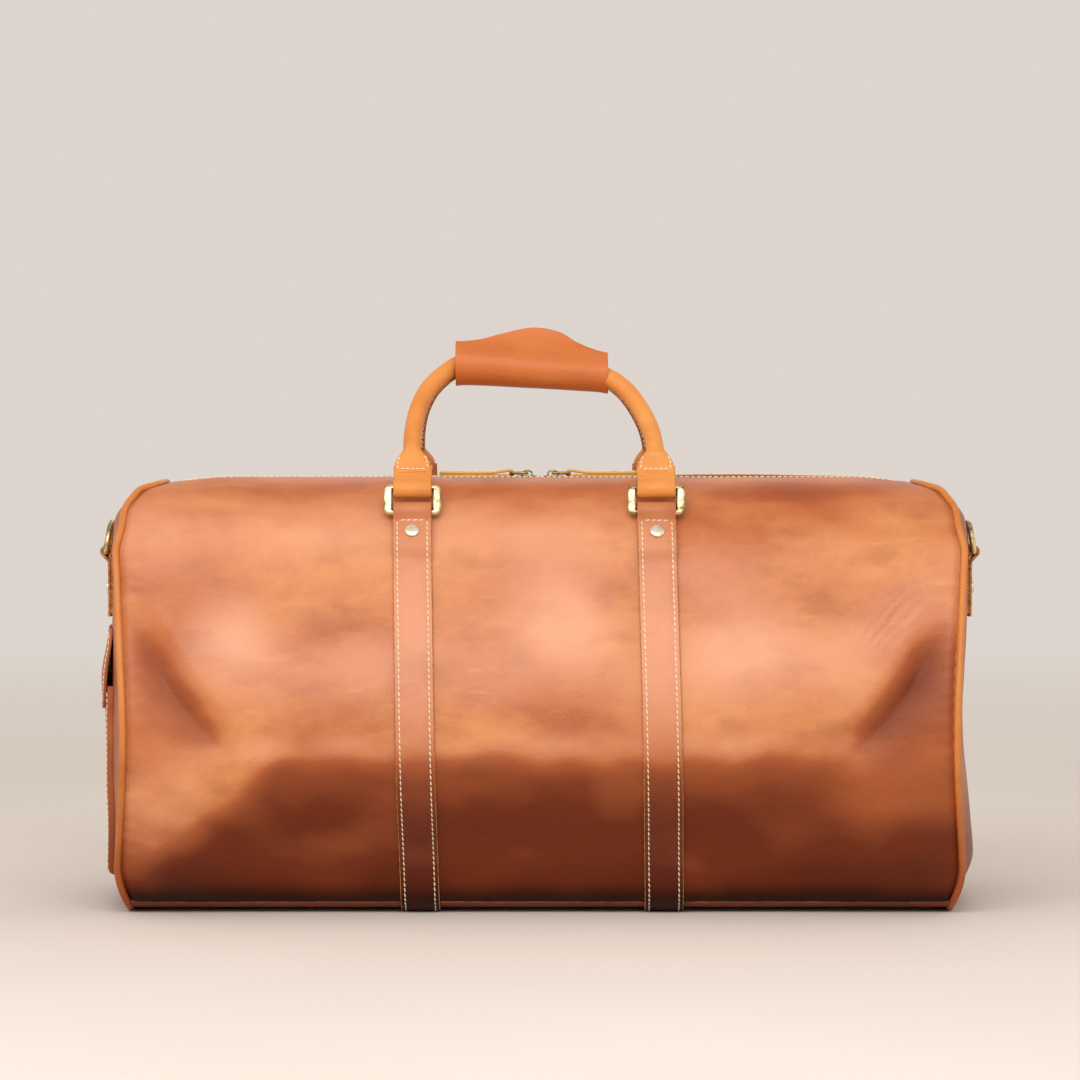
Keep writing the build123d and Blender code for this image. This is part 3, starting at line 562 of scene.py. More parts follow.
def leather(name, base, light, dark, grain=1.5, mottle=1.0, gloss=0.42, worn_and_shaded=True, bent=None):
    """Waxed pull-up leather: colour drifts in clouds; painted highlight with pull-up lightens it, and painted shade
    with patina darkens it.
    """
    material, tree, shader, where = blank_material(name)
    base, light, dark = linear(base), linear(light), linear(dark)
    clouds = noise_field(tree, where, 70, 4, (1.4, 1, 1), (0, 25, 0))
    patches = noise_field(tree, where, 26, 3, (1.8, 1, 1), (0, -35, 0))
    colour = mixed(tree, ramp(tree, clouds, [(0.40, grey(0)), (0.66, grey(0.75 * mottle))]), base, light)
    colour = mixed(tree, ramp(tree, patches, [(0.50, grey(0)), (0.76, grey(0.34 * mottle))]), colour, dark)
    freckles = noise_field(tree, where, 4.5, 2)
    colour = mixed(tree, ramp(tree, freckles, [(0.52, grey(0)), (0.80, grey(0.10 * mottle))]), colour, dark)
    # Pale scuffs, long and thin, where the wax has been pushed aside
    scuffs = noise_field(tree, where, 9, 2, (7, 1, 1), (12, 32, 5), 0.7)
    colour = mixed(tree, ramp(tree, scuffs, [(0.66, grey(0)), (0.74, grey(0.30 * mottle))]), colour, light)
    if worn_and_shaded:
        patina_and_shade = add(tree, "ShaderNodeAttribute", {"attribute_name": "patina_and_shade"}).outputs["Fac"]
        streaky = add(tree, "ShaderNodeMath", {"operation": "MULTIPLY_ADD"}, i0=patches, i1=0.35, i2=patina_and_shade)
        warm = add(tree, "ShaderNodeMapRange", i0=streaky.outputs[0], i1=0.16, i2=0.62, i3=0.0, i4=0.8)
        soft = add(tree, "ShaderNodeMapRange", i0=streaky.outputs[0], i1=0.42, i2=1.12, i3=0.0, i4=1.0)
        # Painted highlight, with some pull-up lightening, in the bent tint
        glow = add(tree, "ShaderNodeAttribute", {"attribute_name": "pull_up_and_highlight"}).outputs["Fac"]
        colour = mixed(tree, glow, colour, linear(bent) if bent else light)
        # Painted shade, with some patina, turns the colour first a warm orange, then brown
        colour = mixed(tree, warm.outputs[0], colour, linear("A9501E"))
        colour = mixed(tree, soft.outputs[0], colour, dark)
        # Close to the floor the painted shadow goes on to almost black-brown
        low = add(tree, "ShaderNodeMapRange", i0=patina_and_shade, i1=1.0, i2=1.8, i3=0.0, i4=0.85)
        colour = mixed(tree, low.outputs[0], colour, linear("1E0C05"))
    tree.links.new(colour, shader.inputs["Base Color"])
    # Pebbled grain, drawn a little coarser than real so that it shows at arm's length
    pebbles = add(
        tree, "ShaderNodeTexVoronoi", {"feature": "SMOOTH_F1"}, Vector=where, Scale=1 / (grain * MM), Smoothness=0.6
    )
    pores = noise_field(tree, where, 0.7, 2)
    creased = noise_field(tree, where, 13, 4, (3.2, 1, 1), (8, -52, 0), 0.62)
    height = pebbles.outputs["Distance"]
    for relief, depth in ((pores, 0.5), (creased, 2.2)):
        height = add(tree, "ShaderNodeMath", {"operation": "MULTIPLY_ADD"}, i0=relief, i1=depth, i2=height).outputs[0]
    bump = add(tree, "ShaderNodeBump", Strength=0.35, Distance=0.35 * MM, Height=height)
    tree.links.new(bump.outputs["Normal"], shader.inputs["Normal"])
    polish = add(tree, "ShaderNodeMapRange", i0=clouds, i1=0.3, i2=0.7, i3=gloss - 0.06, i4=gloss + 0.12)
    tree.links.new(polish.outputs[0], shader.inputs["Roughness"])
    shader.inputs["Specular IOR Level"].default_value = 0.36
    if worn_and_shaded:
        # Where painted shade and patina darken the leather, it also gives back less of the pale room
        dull = add(tree, "ShaderNodeMapRange", i0=patina_and_shade, i1=0.4, i2=1.6, i3=0.36, i4=0.12)
        tree.links.new(dull.outputs[0], shader.inputs["Specular IOR Level"])
    return material


def cut_edge(name, colour, shadow):
    """A cut and rubbed leather edge: tan, with fine fibres along the cut."""
    material, tree, shader, where = blank_material(name)
    fibres = noise_field(tree, where, 1.6, 4, (5, 5, 1))
    tree.links.new(
        ramp(tree, fibres, [(0.35, linear(shadow)), (0.65, linear(colour))]), shader.inputs["Base Color"]
    )
    shader.inputs["Roughness"].default_value = 0.62
    bump = add(tree, "ShaderNodeBump", Strength=0.4, Distance=0.2 * MM, Height=fibres)
    tree.links.new(bump.outputs["Normal"], shader.inputs["Normal"])
    return material


def brass(name, bright, tarnish, polish=0.26):
    """Cast and tumbled brass with an antique finish: dark in the low places, pale where rubbed."""
    material, tree, shader, where = blank_material(name)
    stain = noise_field(tree, where, 6, 4)
    colour = ramp(tree, stain, [(0.34, linear(tarnish)), (0.58, linear(bright))])
    tree.links.new(colour, shader.inputs["Base Color"])
    shader.inputs["Metallic"].default_value = 1.0
    rough = add(tree, "ShaderNodeMapRange", i0=stain, i1=0.3, i2=0.7, i3=polish + 0.2, i4=polish)
    tree.links.new(rough.outputs[0], shader.inputs["Roughness"])
    scratches = noise_field(tree, where, 0.9, 3, (6, 1, 1), (20, 30, 40))
    bump = add(tree, "ShaderNodeBump", Strength=0.12, Distance=0.1 * MM, Height=scratches)
    tree.links.new(bump.outputs["Normal"], shader.inputs["Normal"])
    return material


def woven(name, colour, shadow, pitch=0.9):
    """Woven cotton: crossed threads that stand out of each other."""
    material, tree, shader, where = blank_material(name)
    threads = []
    for axis in ("X", "Y"):
        wave = add(
            tree,
            "ShaderNodeTexWave",
            {"bands_direction": axis},
            Vector=where,
            Scale=1 / (pitch * MM * 2 * math.pi) * 2,
            Distortion=0.4,
        )
        threads.append(wave.outputs["Fac"])
    cloth = add(tree, "ShaderNodeMath", {"operation": "MULTIPLY"}, i0=threads[0], i1=threads[1])
    tree.links.new(
        ramp(tree, cloth.outputs[0], [(0.0, linear(shadow)), (0.7, linear(colour))]),
        shader.inputs["Base Color"],
    )
    bump = add(tree, "ShaderNodeBump", Strength=0.5, Distance=0.3 * MM, Height=cloth.outputs[0])
    tree.links.new(bump.outputs["Normal"], shader.inputs["Normal"])
    shader.inputs["Roughness"].default_value = 0.85
    shader.inputs["Sheen Weight"].default_value = 0.25
    return material


def waxed_thread(name, colour, shadow):
    """Waxed linen thread: cream, a little fuzzy, dirty in its lay."""
    material, tree, shader, where = blank_material(name)
    lay = noise_field(tree, where, 0.8, 2)
    tree.links.new(ramp(tree, lay, [(0.3, linear(shadow)), (0.6, linear(colour))]), shader.inputs["Base Color"])
    shader.inputs["Roughness"].default_value = 0.7
    shader.inputs["Sheen Weight"].default_value = 0.2
    return material


# The pinkish bent tint is the colour of the painted highlight, and the dark colours serve both random patches and the
# painted shade
BODY_LEATHER = leather("waxed_cowhide_body", "B8693A", "DA965C", "6E2A07", bent="E2A07E")
STRAP_LEATHER = leather("waxed_cowhide_strap", "B66A42", "D48F60", "5C2009", 1.3, 0.7, 0.42, bent="E2A07E")
HANDLE_LEATHER = leather("rolled_handle_leather", "D48138", "EEA658", "94481C", 1.2, 0.8, 0.4, False)
WRAP_LEATHER = leather("handle_wrap_leather", "C2682E", "DE8A48", "863E18", 1.3, 0.6, 0.46, False)
PULL_LEATHER = leather("natural_tan_pull_leather", "DDA048", "EDBB66", "A0682A", 1.1, 0.6, 0.45, False)
PIPING_LEATHER = leather("rolled_piping_leather", "B0602A", "D6863E", "6A2C10", 1.1, 0.8, 0.38)
CUT_EDGE = cut_edge("rubbed_cut_edge", "CB8B48", "8A5224")
DARK_EDGE = cut_edge("shadowed_cut_edge", "7E4A20", "40210D")
ANTIQUE_BRASS = brass("antique_brass", "E2D2A8", "7A6236")
PALE_BRASS = brass("polished_pale_brass", "F3EEE0", "D2C6A8", 0.2)
ZIP_BRASS = brass("zipper_brass", "B9995A", "5E4624", 0.3)
ZIP_TAPE = woven("zipper_tape_cotton", "4A2D1A", "2A180D")
LINING_TWILL = woven("lining_cotton_twill", "6A5238", "40301F", 1.4)
ROPE = woven("cotton_rope_core", "CDB890", "8F7B57", 2.2)
FIBRE_BOARD = cut_edge("pressed_fibre_board", "7A5E42", "4E3A28")
LINEN_THREAD = waxed_thread("waxed_linen_thread", "F0E2C6", "C9B48C")


# ---------------------------------------------------------------- stitches
def stitch_shape():
    """One stitch: a short rounded stroke along X, modelled once."""
    bpy.ops.object.select_all(action="DESELECT")
    bpy.ops.mesh.primitive_uv_sphere_add(segments=8, ring_count=6, radius=0.5)
    obj = bpy.context.object
    points = np.array([v.co for v in obj.data.vertices])[:, [2, 0, 1]]
    faces = [tuple(p.vertices) for p in obj.data.polygons]
    bpy.data.objects.remove(obj)
    return points, faces


STITCH_POINTS, STITCH_FACES = stitch_shape()
stitch_rows = {}


def stitch_row(group, points, normals, pitch=STITCH_PITCH, slant=9.0, fill=0.72, sink=0.25):
    """Adds a row of stitches along points, lying on the surface whose normals are given."""
    points = [np.array(p, float) for p in points]
    steps = np.linalg.norm(np.diff(points, axis=0), axis=1)
    distance = np.concatenate([[0.0], np.cumsum(steps)])
    count = int(distance[-1] / pitch)
    if count < 1:
        return
    start = (distance[-1] - count * pitch) / 2
    columns = np.array(points).T
    normals = np.array(normals, float)
    if normals.ndim == 1:
        normals = np.tile(normals, (len(points), 1))
    for k in range(count):
        a, b = start + (k + 0.5 - fill / 2) * pitch, start + (k + 0.5 + fill / 2) * pitch
        p = np.array([np.interp(a, distance, c) for c in columns])
        q = np.array([np.interp(b, distance, c) for c in columns])
        up = unit(np.array([np.interp((a + b) / 2, distance, c) for c in normals.T]))
        along = unit(q - p)
        up = unit(up - along * (up @ along))
        across = np.cross(up, along)
        turn = math.radians(slant + random.uniform(-2, 2))
        along, across = (
            along * math.cos(turn) + across * math.sin(turn),
            across * math.cos(turn) - along * math.sin(turn),
        )
        size = (np.linalg.norm(q - p) + 0.5, THREAD * random.uniform(0.94, 1.06), THREAD)
        centre = (p + q) / 2 + up * (THREAD * (0.5 - sink) + random.uniform(-0.04, 0.04))
        placed = centre + (STITCH_POINTS * size) @ np.array([along, across, up])
        rows = stitch_rows.setdefault(group, ([], []))
        offset = len(rows[0])
        rows[0].extend(placed)
        rows[1].extend(tuple(i + offset for i in face) for face in STITCH_FACES)


def lay_stitches(group, body):
    """Turns the rows of a group into one piece."""
    points, faces = stitch_rows.pop(group)
    obj = mesh_piece(group, points, faces)
    obj.data.polygons.foreach_set("use_smooth", [True] * len(obj.data.polygons))
    return finish_piece(obj, body, [LINEN_THREAD])


# ---------------------------------------------------------------- body panels
def column_places():
    """Places across a panel from seam to seam, closer together where the leather creases."""
    coarse = np.linspace(-0.70, 0.70, 122)
    fine = np.linspace(0.70, 1.0, 62)[1:]
    return np.concatenate([-fine[::-1], coarse, fine])


def patina_and_shade(x, z, face):
    """How dark the leather is painted, from 0 to 1, and on to 2 close to the floor: mostly painted shade below the
    belly, in the dents and creases, along the top and near the floor, with some patina.
    """
    wander = 6 * soft_noise(x, 3, 0, 60) + 5 * soft_noise(x, 8, z, 26)
    side = x if face == FRONT else -x
    # Painted shade where the front turns under below the belly
    below_belly = 0.75 * smoothstep(118, 88, z + wander) + 0.25 * smoothstep(96, 60, z - wander)
    fold_x = -257 + (z - 25) * 1.04 + 1.6 * wander
    left = smoothstep(fold_x - 14, fold_x + 30, side)
    # Less painted shade on the lower right, which is lit
    right = 1 - 0.42 * smoothstep(178, 228, side + wander) * smoothstep(46, 78, z)
    lighter = 1 - 0.4 * max(0.0, soft_noise(x, 31, z, 46)) - 0.2 * bell(z, 32, 12) * (0.5 + soft_noise(x, 44, z, 60))
    dark = 0.98 * below_belly * left * right * lighter
    # Painted shade in the dents near the ends
    cheek = 0.36 * smoothstep(196, 240, side + wander) * bell(z, 128, 46)
    cheek += 0.10 * smoothstep(-196, -236, side - wander) * bell(z, 132, 34)
    # Painted shade in the corner creases
    hollow = 0.62 * corner_crease(-side, z) + 0.68 * corner_crease(side, z)
    # Painted shade along the top, which faces up, with random darker patches
    top = 0.20 * smoothstep(262, 272, z) + 0.7 * max(0.0, soft_noise(x, 7, z * 3.0, 70)) * smoothstep(232, 262, z)
    # Painted shadow close to the floor
    base = smoothstep(32, 7, z)
    floor_shade = 0.35 * smoothstep(50, 22, z) + 0.55 * smoothstep(24, 8, z)
    upper = (cheek + 0.6 * hollow) * (1 - below_belly) + 0.4 * hollow + top
    return max(dark, 0.95 * base) + upper + floor_shade + 0.28 * smoothstep(90, 40, z) * (1 - left)


def pull_up_and_highlight(x, z):
    """How much lighter the leather is painted, from 0 to 1: mostly painted highlight along the belly ridge, on the
    lower left corner, the crown and the cheeks, with some pull-up lightening where it bends.
    """
    ridge = 0.5 * bell(z, 110, 9) * (0.5 + soft_noise(x, 9, z, 40)) * smoothstep(245, 200, abs(x))
    corner = 0.35 * smoothstep(-196, -236, x) * bell(z, 66, 34)
    crown = 0.5 * bell(z, 246, 17) * smoothstep(110, -10, x + 40 * soft_noise(x, 2, z, 60))
    cheek = max(0.0, 0.34 + 1.2 * soft_noise(x, 21, z, 62)) * bell(z, 188, 40)
    return min(0.85, max(0.0, ridge + corner + crown + cheek))


def paint(obj, shade_of):
    """Writes the two attributes of a piece from its points: painted shade with patina, and painted highlight with
    pull-up.
    """
    for name, rule in shade_of.items():
        layer = obj.data.attributes.new(name, "FLOAT", "POINT")
        values = [rule(v.co / MM) for v in obj.data.vertices]
        layer.data.foreach_set("value", values)


def section_rows(first, last, step):
    """Even distances down the section, each with a lift of nothing."""
    count = int((last - first) / step)
    return [(first + (last - first) * k / count, 0.0) for k in range(count + 1)]


def make_side_panel(name, face):
    """Front or rear panel: from its turned edge at the zipper, over the shoulder, down to the base seam."""
    turned = [
        (SLOT_EDGE + 1.6, -1.9),
        (SLOT_EDGE + 0.5, -1.5),
        (SLOT_EDGE, -0.8),
        (SLOT_EDGE + 0.35, -0.2),
    ]
    places = turned + section_rows(SLOT_EDGE + 1.0, SEAM_S - 1.2, 2.1) + [(SEAM_S - 0.5, -0.8)]
    columns = column_places()
    rows = []
    for s, lift in places:
        y, z = HALF_SECTION.point(s)
        reach = end_x(y, z) - 1.2
        row = []
        for u in columns:
            tuck = 2.0 * (1 - smoothstep(0.0, 6.5, reach * (1 - abs(u))))
            row.append(skin(u * reach, s, lift - tuck, face))
        rows.append(row)
    obj = lofted_sheet(f"{name}_leather", rows, (0, face, 0.3), 1.7)
    shade(obj, 60)
    # Painted shade and painted highlight over the panel
    paint(
        obj,
        {
            "patina_and_shade": lambda p: patina_and_shade(p.x, p.z, face),
            "pull_up_and_highlight": lambda p: pull_up_and_highlight(p.x, p.z),
        },
    )
    return finish_piece(obj, "bag", [BODY_LEATHER], [f"{name}_panel"])


def make_bottom():
    """The bottom panel between the two base seams."""
    columns = np.linspace(-1, 1, 90)
    half = list(np.arange(SEAM_S + 0.6, FLOOR_S, 2.5)) + [FLOOR_S]
    rows = []
    for face, places in ((FRONT, half), (REAR, half[::-1][1:])):
        for s in places:
            y, z = HALF_SECTION.point(s)
            reach = end_x(y, z) - 1.2
            rows.append([skin(u * reach, s, -0.1, face) for u in columns])
    obj = lofted_sheet("bottom_leather", rows, (0, 0, -1), 1.8)
    shade(obj, 60)
    paint(obj, {"patina_and_shade": lambda p: 0.75, "pull_up_and_highlight": lambda p: 0.0})
    return finish_piece(obj, "bag", [BODY_LEATHER], ["bottom_panel"])


def ring_places(step):
    """Distances all round the section as (s, face): down the front, then up the rear."""
    down = list(np.arange(0.0, FLOOR_S, step))
    front = [(s, FRONT) for s in down]
    rear = [(FLOOR_S - s, REAR) for s in down]
    return front + rear


def seam_point(s, face, side, out_wrap, out_end):
    """A point beside the end seam: out_wrap outside the wrap's face and out_end outside the end's."""
    y, z = HALF_SECTION.point(s)
    dy, dz = HALF_SECTION.direction(s)
    return settle(
        (side * (end_x(y, z) + out_end), -face * (y + dz * out_wrap), z - dy * out_wrap)
    )


def make_piping(name, side):
    """The piping bead round an end seam."""
    places = ring_places(2.4)
    points = [seam_point(s, f, side, -0.35, -0.35) for s, f in places]
    frames = frames_along(points, lambda i: (side, 0, 0), closed=True)
    obj = sweep(f"{name}_piping_bead", frames, circle(2.25, 14), closed=True)
    shade(obj, 80)
    # Darker towards the floor, painted shade with some wear, and painted light higher up
    wear_and_shading = {
        "patina_and_shade": lambda p: 0.45 * smoothstep(50, 15, p.z),
        "pull_up_and_highlight": lambda p: 0.55 * smoothstep(60, 120, p.z),
    }
    paint(obj, wear_and_shading)
    return finish_piece(obj, "bag", [PIPING_LEATHER], [f"{name}_piping"])


def make_end(name, side):
    """An end panel: rings from its seam in to its middle."""
    places = ring_places(3.0)
    centre = np.array([0.0, 138.0])
    rows = []
    shares = [1.0, 0.992, 0.98, 0.965] + list(np.linspace(0.945, 0.03, 44))
    for share in shares:
        row = []
        for s, face in places:
            y, z = HALF_SECTION.point(s)
            dy, dz = HALF_SECTION.direction(s)
            y, z = y - dz * 1.4, z + dy * 1.4
            p = centre + (np.array([-face * y, z]) - centre) * share
            tuck = 2.4 * (1 - smoothstep(0.0, 0.05, 1 - share))
            row.append(end_skin(p[0], p[1], side, -tuck))
        rows.append(row)
    obj = lofted_sheet(f"{name}_end_leather", rows, (side, 0, 0), 0, closed=True)
    select_only(obj)
    bpy.ops.object.mode_set(mode="EDIT")
    bpy.ops.mesh.select_all(action="DESELECT")
    bpy.ops.object.mode_set(mode="OBJECT")
    last = len(rows) * len(places)
    for vertex in obj.data.vertices[last - len(places) : last]:
        vertex.select = True
    bpy.ops.object.mode_set(mode="EDIT")
    bpy.ops.mesh.edge_face_add()
    bpy.ops.mesh.poke()
    bpy.ops.object.mode_set(mode="OBJECT")
    apply_modifier(obj, "SOLIDIFY", thickness=1.7 * MM, offset=-1, use_rim=True)
    shade(obj, 60)
    # The end is painted darker towards the floor, with random darker and lighter patches
    paint(
        obj,
        {
            "patina_and_shade": lambda p: min(
                1.0, 0.35 + 0.5 * (1 - smoothstep(20, 90, p.z)) + 0.3 * max(0.0, soft_noise(p.x, p.y, p.z, 60))
            ),
            "pull_up_and_highlight": lambda p: 0.3 * max(0.0, soft_noise(p.x + 99, p.y, p.z, 50)),
        },
    )
    return finish_piece(obj, "bag", [BODY_LEATHER], [f"{name}_end_panel"])


def make_welt(name, face):
    """The raw-edged strip in a base seam, left out under the straps."""
    half = STRAP_WIDTH / 2 + 0.6
    y, z = HALF_SECTION.point(SEAM_S)
    reach = end_x(y, z) - 3.0
    cuts = [-reach, reach]
    cuts[1:1] = [strap_x(side, SEAM_S) + edge for side in (LEFT, RIGHT) for edge in (-half, half)]
    objs = []
    for k in (0, 2, 4):
        xs = np.linspace(cuts[k], cuts[k + 1], max(8, int((cuts[k + 1] - cuts[k]) / 3)))
        out = skin_out(SEAM_S, face)
        frames = [(skin(x, SEAM_S, -1.9, face), out, np.cross((1, 0, 0), out) * -face) for x in xs]
        t = WELT_THICKNESS / 2
        profile = [(0, -t), (2.0, -t), (2.4, -t * 0.5), (2.4, t * 0.5), (2.0, t), (0, t)]
        objs.append(sweep(f"{name}_welt_{k}", frames, profile))
    select_only(objs[0])
    for other in objs[1:]:
        other.select_set(True)
    bpy.ops.object.join()
    obj = objs[0]
    obj.name = f"{name}_base_welt"
    shade(obj)
    return finish_piece(obj, "bag", [DARK_EDGE], [f"{name}_bottom_welt"])


def make_lining():
    """The cloth lining, a little inside the leather all over."""
    rows = []
    places = [(s, f) for s, f in ring_places(6.0) if s > SLOT_EDGE + 6]
    for u in np.linspace(-1, 1, 70):
        row = []
        for s, face in places:
            y, z = HALF_SECTION.point(s)
            row.append(skin(u * (end_x(y, z) - 6), s, -5.0, face))
        rows.append(row)
    obj = lofted_sheet("cloth_lining", rows, (0, 0, -1), 0.6)
    shade(obj, 60)
    return finish_piece(obj, "bag", [LINING_TWILL], ["lining"])


# ---------------------------------------------------------------- straps and their tabs
def strap_x(side, s):
    """The middle of a strap, which leans a little to the right on its way down."""
    z = HALF_SECTION.point(s)[1]
    return strap_head(side) + STRAP_LEAN * (1 - z / STRAP_TOP)


def strap_head(side):
    """The middle of a strap at its top, and of its ring and handle foot."""
    return side * STRAP_X + TOP_SHIFT


def strap_lift(s):
    """How far a strap's underside is off the leather: it steps out over its ring tab's layers."""
    z = HALF_SECTION.point(s)[1]
    return TAB_LAYERS * smoothstep(STRAP_TOP - 25, STRAP_TOP - 17, z)


def make_strap(name, side):
    """A strap from its front ring tab, under the bag, up to the rear one, with its stitch rows."""
    down = [TOP_S + 0.15, TOP_S + 0.5, TOP_S + 1.2] + list(np.arange(TOP_S + 3, FLOOR_S, 3.0))
    route = [(s, FRONT) for s in down] + [(s, REAR) for s in reversed(down)]
    frames, profiles = [], []
    for s, face in route:
        x = strap_x(side, s)
        thick = 2.35 - 0.7 * (1 - smoothstep(0.0, 1.2, s - TOP_S - 0.1))
        origin = skin(x, s, strap_lift(s) - 0.05, face)
        frames.append((origin, np.array([1.0, 0, 0]), skin_out(s, face)))
        profiles.append(band_profile(STRAP_WIDTH, thick))
    obj = sweep(f"{name}_base_strap", frames, profiles, edge_steps=band_edges(profiles[0]))
    shade(obj, 50)
    # Painted shade by height, as on the front, and a painted highlight band about 180 mm up
    paint(
        obj,
        {
            "patina_and_shade": lambda p: 0.9 * patina_and_shade(0, p.z, FRONT),
            "pull_up_and_highlight": lambda p: 0.6 * bell(p.z, 180, 60),
        },
    )
    finish_piece(obj, "bag", [STRAP_LEATHER, CUT_EDGE], [f"{name}_strap"])
    group = f"{name}_strap_stitches"
    inset = STRAP_WIDTH / 2 - 2.9
    for face in (FRONT, REAR):
        rows = [TOP_S + 2.6] + list(np.arange(TOP_S + 4, FLOOR_S, 2.5))
        for offset in (-inset, inset):
            line = [skin(strap_x(side, s) + offset, s, strap_lift(s) + 2.0, face) for s in rows]
            stitch_row(group, line, [skin_out(s, face) for s in rows])
        across = [
            skin(strap_head(side) + dx, TOP_S + 2.8, TAB_LAYERS + 2.25, face)
            for dx in np.linspace(-inset + 1.5, inset - 1.5, 12)
        ]
        stitch_row(group, across, skin_out(TOP_S + 2.8, face))
    lay_stitches(group, "bag")


def loop_frames(x, route):
    """Frames for a band of leather whose middle line is a route in the YZ plane."""
    frames = []
    route = [np.array(p, float) for p in route]
    for i, p in enumerate(route):
        along = unit(route[min(i + 1, len(route) - 1)] - route[max(i - 1, 0)])
        up = np.array([0.0, -along[1], along[0]])
        frames.append((np.array([x, p[0], p[1]]), np.array([1.0, 0, 0]), up))
    return frames


def flat_band(width, thickness):
    """Outline of a band that is centred on its middle line."""
    h, t = width / 2, thickness / 2
    right = [(h - 0.4, -t), (h, -t + 0.45), (h, t - 0.45), (h - 0.4, t)]
    left = [(-h + 0.4, t), (-h, t - 0.45), (-h, -t + 0.45), (-h + 0.4, -t)]
    return right + left


BAND_SIDES = (0, 1, 2, 4, 5, 6)
TOP_POINT = HALF_SECTION.point(TOP_S)
TOP_RISE = -HALF_SECTION.direction(TOP_S)
TOP_OUT = np.array([-TOP_RISE[1], TOP_RISE[0]])
LOWER_AXIS = TOP_POINT + TOP_RISE * 5.0 + TOP_OUT * 6.5
RING_LEAN = math.radians(20)
UPPER_AXIS = LOWER_AXIS + 15.0 * np.array([math.sin(RING_LEAN), math.cos(RING_LEAN)])


def make_ring_tab(name, side, face):
    """A ring tab: two layers under the strap and a rolled eye round the ring's lower bar."""
    middle = LOOP_OUTER - 1.0
    route = [(-20, 3.0), (-12, 3.0), (-5, 3.1), (-2.2, 4.2)]
    for degrees in range(-48, 181, 12):
        a = math.radians(degrees)
        route.append((5 + middle * math.sin(a), 6.5 + middle * math.cos(a)))
    route += [(1, 1.15), (-8, 1.0), (-20, 1.0)]
    line = []
    for rise, out in route:
        if rise < -1:
            s = TOP_S - rise
            p = HALF_SECTION.point(s)
            d = HALF_SECTION.direction(s)
            line.append(p + np.array([d[1], -d[0]]) * out)
        else:
            line.append(TOP_POINT + TOP_RISE * rise + TOP_OUT * out)
    line = [(-face * y, z) for y, z in line]
    frames = loop_frames(strap_head(side), line)
    profile = flat_band(STRAP_WIDTH - 0.4, 1.9)
    obj = sweep(f"{name}_tab_leather", frames, profile, edge_steps=BAND_SIDES)
    shade(obj, 60)
    finish_piece(obj, "bag", [STRAP_LEATHER, CUT_EDGE], [f"{name}_ring_tab"])


# ---------------------------------------------------------------- rivets, snaps and rings
def rivet_head(name, centre, out, radius, height):
    """A plain domed cap, from a cylinder."""
    bpy.ops.object.select_all(action="DESELECT")
    bpy.ops.mesh.primitive_cylinder_add(vertices=40, radius=radius * MM, depth=height * MM)
    obj = bpy.context.object
    obj.name = name
    mesh = bmesh.new()
    mesh.from_mesh(obj.data)
    top = [f for f in mesh.faces if f.normal.z > 0.9]
    for share, depth in ((0.10, 0.34), (0.16, 0.24), (0.22, 0.16), (0.24, 0.06)):
        bmesh.ops.inset_region(mesh, faces=top, thickness=radius * share * MM, depth=depth * MM)
    low, high = height * 0.4 * MM, height * 0.51 * MM
    rim = [e for e in mesh.edges if all(low < v.co.z < high for v in e.verts)]
    bmesh.ops.bevel(mesh, geom=rim, offset=height * 0.25 * MM, segments=3, affect="EDGES", profile=0.5)
    mesh.to_mesh(obj.data)
    mesh.free()
    out = Vector(out).normalized()
    obj.data.transform(out.to_track_quat("Z", "Y").to_matrix().to_4x4())
    obj.data.transform(Matrix.Translation(Vector(centre) * MM + out * height / 2 * MM))
    shade(obj, 35)
    return obj


def join(objs, name):
    """Joins pieces into one."""
    select_only(objs[0])
    for other in objs[1:]:
        other.select_set(True)
    bpy.ops.object.join()
    objs[0].name = name
    return objs[0]


def make_strap_rivets():
    heads = []
    s = HALF_SECTION.where(1, STRAP_TOP - 8.5)
    for _, face in FACES:
        for _, side in SIDES:
            centre = skin(strap_x(side, s), s, TAB_LAYERS + 2.2, face)
            heads.append(rivet_head("rivet", centre, skin_out(s, face), 4.7, 1.5))
    finish_piece(join(heads, "strap_rivet_caps"), "bag", [PALE_BRASS], ["strap_rivets"])


def make_ring(name, side, face):
    """A cast rectangular ring: round bars between thicker rounded sides, closed into one loop."""
    up = np.array([0.0, -face * (UPPER_AXIS - LOWER_AXIS)[0], (UPPER_AXIS - LOWER_AXIS)[1]]) / 15.0
    right = np.array([1.0, 0, 0])
    centre2 = (LOWER_AXIS + UPPER_AXIS) / 2
    centre = np.array([strap_head(side), -face * centre2[0], centre2[1]])
    half_w = STRAP_WIDTH / 2 + 3.2
    outline = Track(
        rounded_line(
            [(0, 8.3), (half_w, 8.3), (half_w, -8.3), (-half_w, -8.3), (-half_w, 8.3), (0, 8.3)],
            [3.0, 3.0, 3.0, 3.0],
        )
    )
    frames, profiles = [], []
    normal = np.cross(right, up)
    for s in np.arange(0, outline.length - 0.4, 0.8):
        (a, b), (da, db) = outline.point(s), outline.direction(s)
        outward = right * db - up * da
        origin = centre + right * a + up * b
        thick = smoothstep(half_w - 3.2, half_w - 0.4, abs(a)) * smoothstep(10.0, 7.0, abs(b))
        frames.append((origin, outward, normal))
        profiles.append(superellipse(2.1 + 0.75 * thick, 2.1 + 0.35 * thick, 2 + 2.2 * thick, 24))
    obj = sweep(f"{name}_cast_ring", frames, profiles, closed=True)
    shade(obj, 60)
    finish_piece(obj, f"{name.split('_')[0]}_rings", [ANTIQUE_BRASS], [f"{name}_ring"])


